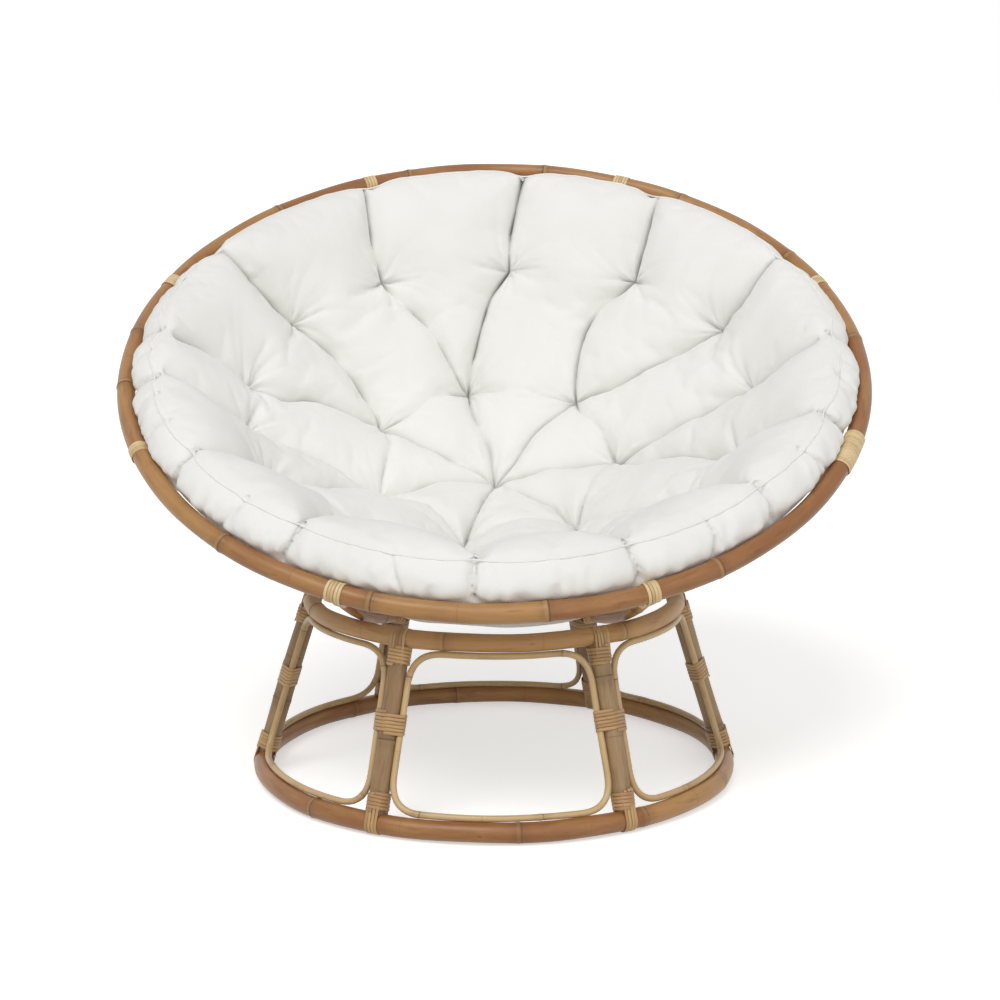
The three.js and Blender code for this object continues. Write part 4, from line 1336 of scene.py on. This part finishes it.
    def sewn(self, ways: np.ndarray, widths: tuple[float, ...]) -> tuple[np.ndarray, list[np.ndarray]]:
        """How near the tufts are, and how deep the creases pull.

        Args:
            ways: Directions in the bowl's frame.
            widths: How far a crease's pull reaches, once for each answer.

        Returns:
            The distance to the nearest tuft, and the pull from 0 to 1 for each width.
        """
        near = self.arm * np.min(np.linalg.norm(ways[:, None] - self.tuft_ways()[None], axis=-1), axis=1)
        waves = np.sin(ways @ CREASE_WAVES + 0.7)
        ways = unit(ways + self.wander * waves * np.clip(near / 0.06, 0, 1)[:, None])
        pulls = [np.zeros(len(ways)) for _ in widths]
        for start, end, deep, bow in self.creases():
            run = end - start
            share = np.clip((ways - start) @ run / (run @ run), 0, 1)
            bent = unit(np.cross(start, end)) * (4 * bow * share * (1 - share))[:, None]
            beside = self.arm * np.linalg.norm(ways - unit(start + share[:, None] * run + bent), axis=-1)
            depth = np.maximum(np.interp(share, [0, 0.5, 1], deep), 0)
            pulls = [np.maximum(pull, depth * np.exp(-beside / width)) for pull, width in zip(pulls, widths)]
        return near, pulls

    def puffed(self, ways: np.ndarray) -> np.ndarray:
        """How far the cover stands up: nothing at a tuft, part way along a crease, else full."""
        near, (wide, narrow) = self.sewn(ways, (0.027, 0.009))
        at_crease = np.minimum(0.75 * wide + 0.25 * narrow, 1.0)
        at_tuft = np.exp(-(near / 0.04) ** 1.2)
        return 1 - np.maximum(at_tuft, at_crease + at_tuft * (1 - at_crease) * 0.5)

    def top(self, share: np.ndarray, turn: np.ndarray) -> np.ndarray:
        """The top's points in the bowl's frame, from its middle out to the seam."""
        radius, height = self.seam(turn)
        seam_angle, seam_reach = np.arctan2(radius, RIM_DROP - height), np.hypot(radius, RIM_DROP - height)
        angle = share * seam_angle
        ways = in_bowl(angle, turn)
        outer = OUTER_SHARE * RIM_ANGLE
        edge = np.clip((angle - outer) / (seam_angle - outer), 0, 1)
        low = np.interp(angle / (INNER_SHARE * RIM_ANGLE), [0, 1], [self.centre_depth, self.tuft_depth])
        reach = (CUSHION_REACH - low) * (1 - edge) + seam_reach * edge
        crown = (self.puff_depth - self.tuft_depth) * np.sqrt(np.clip(1 - edge ** 4, 0, 1))
        return ways * (reach - crown * self.puffed(ways))[:, None]

    def tuck(self) -> tuple[float, float]:
        """The radius and height over the rim of the boxed edge's foot."""
        radius = RIM_RADIUS - RIM_POLE - CUSHION_GAP
        return radius, RIM_DROP - math.sqrt(CUSHION_REACH ** 2 - radius ** 2)

    def wall(self, share: np.ndarray, turn: np.ndarray) -> np.ndarray:
        """The boxed edge's points, from its upper seam down to the tuck."""
        top_radius, top_height = self.seam(turn)
        radius, height = self.tuck()
        pleat = 0.008 * np.exp(-self.from_outer(turn) / 0.012) * (1 - share)
        swell = np.interp(np.abs((turn + math.pi) % FULL_TURN - math.pi), np.radians([85, 125]), self.swell)
        reach = top_radius + (radius - top_radius) * share + (swell - pleat) * np.sin(math.pi * share)
        level = top_height + (height - top_height) * share - RIM_DROP
        return round_ring(turn) * reach[:, None] + np.array([0, 0, 1]) * level[:, None]

    def underside(self, angle: np.ndarray, turn: np.ndarray) -> np.ndarray:
        """The underside's points: it dips over the middle ring and at the tufts, and swells between the ribs."""
        away = np.abs(angle - HOOP_ANGLE) * HOOP_REACH
        dip = (CUSHION_REACH - HOOP_REACH + HOOP_POLE + 0.003) * np.clip((0.035 - away) / 0.0224, 0, 1)
        ways = in_bowl(angle, turn)
        near = CUSHION_REACH * np.min(np.linalg.norm(ways[:, None] - self.tuft_ways()[None], axis=-1), axis=1)
        dimple = self.dimple * np.exp(-(near / 0.024) ** 1.5)
        share = turn / FULL_TURN * RIB_COUNT
        from_rib = np.abs(share - np.floor(share) - 0.5) * FULL_TURN / RIB_COUNT * np.sin(angle) * BOWL_RADIUS
        room = smooth(from_rib, 0.017, 0.07) * smooth(away, 0.032, 0.08)
        room *= (smooth(angle, FOOT_ANGLE + 0.06, FOOT_ANGLE + 0.17)
                 * smooth(angle, RIM_ANGLE - 0.05, RIM_ANGLE - 0.16))
        return ways * (CUSHION_REACH - dip - dimple + self.bulge * room)[:, None]

    def shaped(self) -> bpy.types.Object:
        """The whole form as one closed mesh."""
        rows = self.top_rows + self.wall_rows + self.under_rows
        sheet = Sheet("cushion_cover", rows, self.columns)
        turn = FULL_TURN * sheet.column / self.columns
        row = sheet.row.astype(float)
        points = np.zeros((len(row), 3))
        on_top, below = row <= self.top_rows, row >= self.top_rows + self.wall_rows
        beside = ~on_top & ~below
        points[on_top] = self.top(row[on_top] / self.top_rows, turn[on_top])
        points[beside] = clear_of_rim(Place.BOWL.row(self.wall(
            (row[beside] - self.top_rows) / self.wall_rows, turn[beside])))
        points[beside] = in_bowl_frame(points[beside])
        foot = math.asin(self.tuck()[0] / CUSHION_REACH)
        share = (row[below] - self.top_rows - self.wall_rows) / self.under_rows
        points[below] = self.underside(foot * (1 - share), turn[below])
        write_points(sheet.mesh, Place.BOWL.row(points))
        return sheet.weld(ends=False)

    def lies_under(self, local: np.ndarray) -> np.ndarray:
        """Which points belong to the underside."""
        return (np.linalg.norm(local, axis=1) > CUSHION_REACH - 0.026) & (local[:, 2] < -RIM_DROP)

    def held(self, points: np.ndarray) -> np.ndarray:
        """How firmly the cover is held: fully underneath and at the tufts, partly along creases and seam."""
        local = in_bowl_frame(points)
        near, (crease,) = self.sewn(unit(local), (0.005,))
        away, turn = round_axis(local)
        radius, seam_height = self.seam(turn)
        to_seam = np.hypot(away - radius, local[:, 2] + RIM_DROP - seam_height)
        hold = np.where(crease > 0.12, crease * self.crease_hold, 0.0)
        hold = np.where(to_seam < 0.005, self.seam_hold, hold)
        hold = np.where(near < self.tuft_width, 1.0, hold)
        return np.where(self.lies_under(local), 1.0, hold)

    def folds(self, ways: np.ndarray) -> np.ndarray:
        """Narrow folds that run out from each tuft where the cloth is pulled, from 0 to 1."""
        tufts = self.tuft_ways()
        nearest = np.argmin(np.linalg.norm(ways[:, None] - tufts[None], axis=-1), axis=1)
        tuft = tufts[nearest]
        side = unit(np.cross(tuft, np.array([0.3, 0.2, 1.0])))
        ahead = np.cross(tuft, side)
        away = ways - tuft
        reach = np.linalg.norm(away, axis=1)
        turn = np.arctan2(np.sum(away * side, axis=1), np.sum(away * ahead, axis=1)) + 2.2 * reach
        fan = np.zeros(len(ways))
        for count, phase, share in ((3, 1.9, 1.0), (5, 2.7, 0.8), (8, 0.8, 0.5)):
            fan = np.maximum(fan, share * (1 - np.abs(np.sin(0.5 * count * turn + phase * nearest))) ** 2.5)
        return fan

    def firmness(self, ways: np.ndarray) -> np.ndarray:
        """How tightly the creases are drawn, which changes along them, from 0.25 to 1."""
        waves = np.sin(ways @ np.array([[23.0, -31.0], [37.0, 13.0], [-11.0, 29.0]]) + np.array([0.4, 2.0]))
        return 0.25 + 0.75 * np.clip(0.62 + 0.55 * waves[:, 0] * waves[:, 1] + 0.25 * waves[:, 0], 0, 1)

    def drawn_top(self, ways: np.ndarray) -> np.ndarray:
        """How far the top is drawn in by its creases, tufts and folds."""
        near, (sharp, soft) = self.sewn(ways, (0.0024, 0.009))
        groove = self.groove * sharp * self.firmness(ways) + self.furrow * soft
        pit = self.pit * np.exp(-near / 0.006)
        fold = self.fold * self.folds(ways) * np.clip(near / 0.012, 0, 1) * np.exp(-near / 0.048)
        slack = np.sin(ways @ np.array([31.0, -17.0, 23.0])) * np.sin(ways @ np.array([-13.0, 29.0, 11.0]))
        return np.maximum(groove, pit) + fold + 0.0012 * slack

    def drawn_edge(self, turn: np.ndarray, level: np.ndarray) -> np.ndarray:
        """How far the boxed edge is drawn in: deep pleats at the creases, and shallow crumples between."""
        drawn = lambda away, pleat: sum(depth * np.exp(-away / width) for depth, width in pleat)
        pleat = drawn(self.from_outer(turn + 0.012 * np.sin(70 * level + 9 * turn)), self.deep_pleat)
        between = self.from_turns(turn + 0.03 * np.sin(45 * level + 5 * turn), self.edge_pleats)
        pleat += drawn(between, self.small_pleat) * np.clip(level / 0.03, 0, 1)
        patch = np.sin(7 * turn + 1.3) * np.sin(17 * turn + 0.4)
        crumple = 0.0016 * patch * np.sin(61 * turn + 3 * np.sin(23 * turn) + 55 * level)
        return pleat + crumple + 0.0008 * np.sin(113 * turn + 2 * np.sin(31 * turn) - 95 * level)

    def pinch(self, cover: bpy.types.Object) -> None:
        """Draws the swollen cloth sharply in along its creases, at its tufts and down its boxed edge, and stores
        the shade painted into them.
        """
        local = in_bowl_frame(read_points(cover.data))
        reach = np.linalg.norm(local, axis=1)
        away, turn = round_axis(local)
        radius, seam_height = self.seam(turn)
        seam_reach = np.hypot(radius, RIM_DROP - seam_height)
        past_seam = np.clip((reach - seam_reach + 0.002) / self.blend, 0, 1)
        edge = (np.arctan2(away, -local[:, 2]) > self.edge_angle) * past_seam
        level = local[:, 2] + RIM_DROP
        open_edge = edge * np.clip((level + 0.002) / self.blend, 0, 1)
        on_top = (1 - edge) * np.clip((CUSHION_REACH - 0.022 - reach) / self.blend, 0, 1)
        ways = unit(local)
        near, (sharp,) = self.sewn(ways, (0.0018,))
        pleat = np.exp(-self.from_outer(turn) / 0.0016)
        # Painted shade: how far the cloth is greyed along the creases, at the tufts and in the edge's pleats
        painted_crease_shade = on_top * np.maximum(sharp * self.firmness(ways), np.exp(-near / 0.003)) + open_edge * pleat * 0.7
        pick = on_top > 0
        local[pick] += ways[pick] * (on_top[pick] * self.drawn_top(ways[pick]))[:, None]
        pick = open_edge > 0
        drawn = open_edge[pick] * self.drawn_edge(turn[pick], level[pick])
        local[pick] -= round_ring(turn[pick]) * drawn[:, None]
        write_points(cover.data, Place.BOWL.row(local))
        store(cover.data, "painted_crease_shade", painted_crease_shade)

    def refine(self, cover: bpy.types.Object, width: float) -> None:
        """Splits the faces within a width of creases and tufts, so that they can be drawn in sharply."""
        body = bmesh.new()
        body.from_mesh(cover.data)
        local = in_bowl_frame(read_points(cover.data))
        near, (crease,) = self.sewn(unit(local), (width,))
        fine = ((crease > 0.33) | (near < 2 * width)) & (np.linalg.norm(local, axis=1) < CUSHION_REACH - 0.03)
        edges = [edge for edge in body.edges if fine[edge.verts[0].index] and fine[edge.verts[1].index]]
        bmesh.ops.subdivide_edges(body, edges=edges, cuts=1, use_grid_fill=True, smooth=0.0)
        body.to_mesh(cover.data)
        body.free()

    def thin_underneath(self, cover: bpy.types.Object) -> None:
        """Leaves fewer faces underneath, where the cushion lies flat on the ribs."""
        local = in_bowl_frame(read_points(cover.data))
        group = cover.vertex_groups.new(name="under")
        group.add(np.flatnonzero(self.lies_under(local)).tolist(), 1.0, "REPLACE")
        fewer = cover.modifiers.new("fewer", "DECIMATE")
        fewer.ratio, fewer.vertex_group, fewer.vertex_group_factor = self.stuffing.under_share, "under", 1000
        bake(cover)

    def sewn_seam(self, cover: bpy.types.Object) -> bpy.types.Object:
        """The thin stitched ridge along the boxed edge's upper seam, laid on the swollen cover."""
        body = bmesh.new()
        body.from_mesh(cover.data)
        tree = BVHTree.FromBMesh(body)
        body.free()
        turn = np.linspace(0, FULL_TURN, 721)
        radius, height = self.seam(turn)
        ring = round_ring(turn)
        aim = ring * (radius + 0.012)[:, None] + np.array([0, 0, 1]) * (height - RIM_DROP + 0.006)[:, None]
        found = [tree.find_nearest(Vector(point)) for point in Place.BOWL.row(aim)]
        laid = np.array([hit[0] for hit in found])
        outs = unit(np.array([hit[1] for hit in found]))
        weights = tuple(zip(np.array([1, 2, 3, 2, 1]) / 9, (-2, -1, 0, 1, 2)))
        evened = lambda rows: sum(weight * np.roll(rows[:-1], shift, axis=0) for weight, shift in weights)
        laid, outs = evened(laid), unit(evened(outs))
        laid, outs = np.vstack([laid, laid[:1]]), np.vstack([outs, outs[:1]])
        route = Route(laid + outs * self.bead * 0.35, outs)
        return Pole("cushion_seam", route, self.bead, sides=8, step=0.004, closed=True,
                    node_swell=0.0, wander=0.0).build()

    def build(self) -> None:
        """Makes the cushion."""
        cover = self.shaped()
        self.stuffing.fill(cover, self.held, clear_of_rim)
        self.thin_underneath(cover)
        self.refine(cover, 0.011)
        self.refine(cover, 0.004)
        self.pinch(cover)
        for face in cover.data.polygons:
            face.use_smooth = True
        seam = self.sewn_seam(cover)
        for piece in (cover, seam):
            Finishes.dress(piece, Finishes.CLOTH)
            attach(piece, "cushion")
            log.info("cushion: %s, %d faces", piece.name, len(piece.data.polygons))
        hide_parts("cushion")


@dataclass(frozen=True)
class Lamp:
    """A large soft lamp far away: the way to it, the angle that it fills and its strength."""

    name: str
    way: tuple[float, float, float]
    spread: float
    strength: float

    def build(self) -> None:
        """Hangs the lamp."""
        light = bpy.data.lights.new(self.name, "SUN")
        light.energy, light.angle = self.strength, math.radians(self.spread)
        lamp = linked(self.name, light)
        lamp.rotation_euler = Vector(self.way).to_track_quat("Z", "Y").to_euler()


@dataclass
class Studio:
    """The white floor, the soft light and the camera."""

    lamps: tuple[Lamp, ...] = (
        Lamp("key", (-0.55, -1.0, 1.7), 34, 1.3),
        Lamp("fill", (0.5, -1.0, 0.42), 60, 0.75),
    )
    sky: float = 0.42
    floor_hue: Hue = Hue(232, 232, 230)
    lens: float = 82.25
    eye: tuple[float, float, float] = (0.0137, -3.17407, 1.01336)
    look_down: float = 11.06
    look_aside: float = 0.1

    def floor(self) -> None:
        """A white floor that keeps the chair's shadow."""
        mesh = bpy.data.meshes.new("floor")
        plane = bmesh.new()
        bmesh.ops.create_grid(plane, x_segments=1, y_segments=1, size=40)
        plane.to_mesh(mesh)
        plane.free()
        floor = linked("floor", mesh)
        floor.location = (0, 0, -0.0004)
        graph = Graph(bpy.data.materials.new("floor_white"))
        diffuse = graph.node("ShaderNodeBsdfDiffuse", inputs={"Color": self.floor_hue.linear()})
        glow = graph.node("ShaderNodeEmission", inputs={"Color": (1, 1, 1, 1), "Strength": graph.seen() * 0.5})
        both = graph.node("ShaderNodeAddShader", inputs={0: diffuse.outputs[0], 1: glow.outputs[0]})
        graph.node("ShaderNodeOutputMaterial", inputs={"Surface": both.outputs[0]})
        mesh.materials.append(graph.owner)

    def world(self) -> None:
        """Even white light, which the camera sees as plain white."""
        graph = Graph(bpy.data.worlds.new("studio_world"))
        strength = graph.seen() * (1 - self.sky) + self.sky
        back = graph.node("ShaderNodeBackground", inputs={"Color": (1, 1, 1, 1), "Strength": strength})
        graph.node("ShaderNodeOutputWorld", inputs={"Surface": back.outputs[0]})
        bpy.context.scene.world = graph.owner

    def camera(self) -> None:
        """The photograph's view, solved from the chair's rings."""
        lens = bpy.data.cameras.new("camera")
        lens.sensor_width = 36.0
        lens.lens = self.lens
        camera = linked("camera", lens)
        camera.location = Vector((0, BALL.y, 0)) + Vector(self.eye)
        camera.rotation_euler = (math.radians(90 - self.look_down), 0, math.radians(self.look_aside))
        bpy.context.scene.camera = camera

    def build(self) -> None:
        """Sets the whole stage."""
        self.floor()
        self.world()
        for lamp in self.lamps:
            lamp.build()
        self.camera()
        bpy.context.scene.view_settings.view_transform = "Standard"


def main() -> None:
    """Builds the chair on its stage."""
    logging.basicConfig(level=logging.INFO, format="%(name)s %(message)s")
    Base().build()
    Bowl().build()
    Cushion().build()
    Studio().build()
    bpy.context.view_layer.update()


if __name__ == "__main__":
    main()
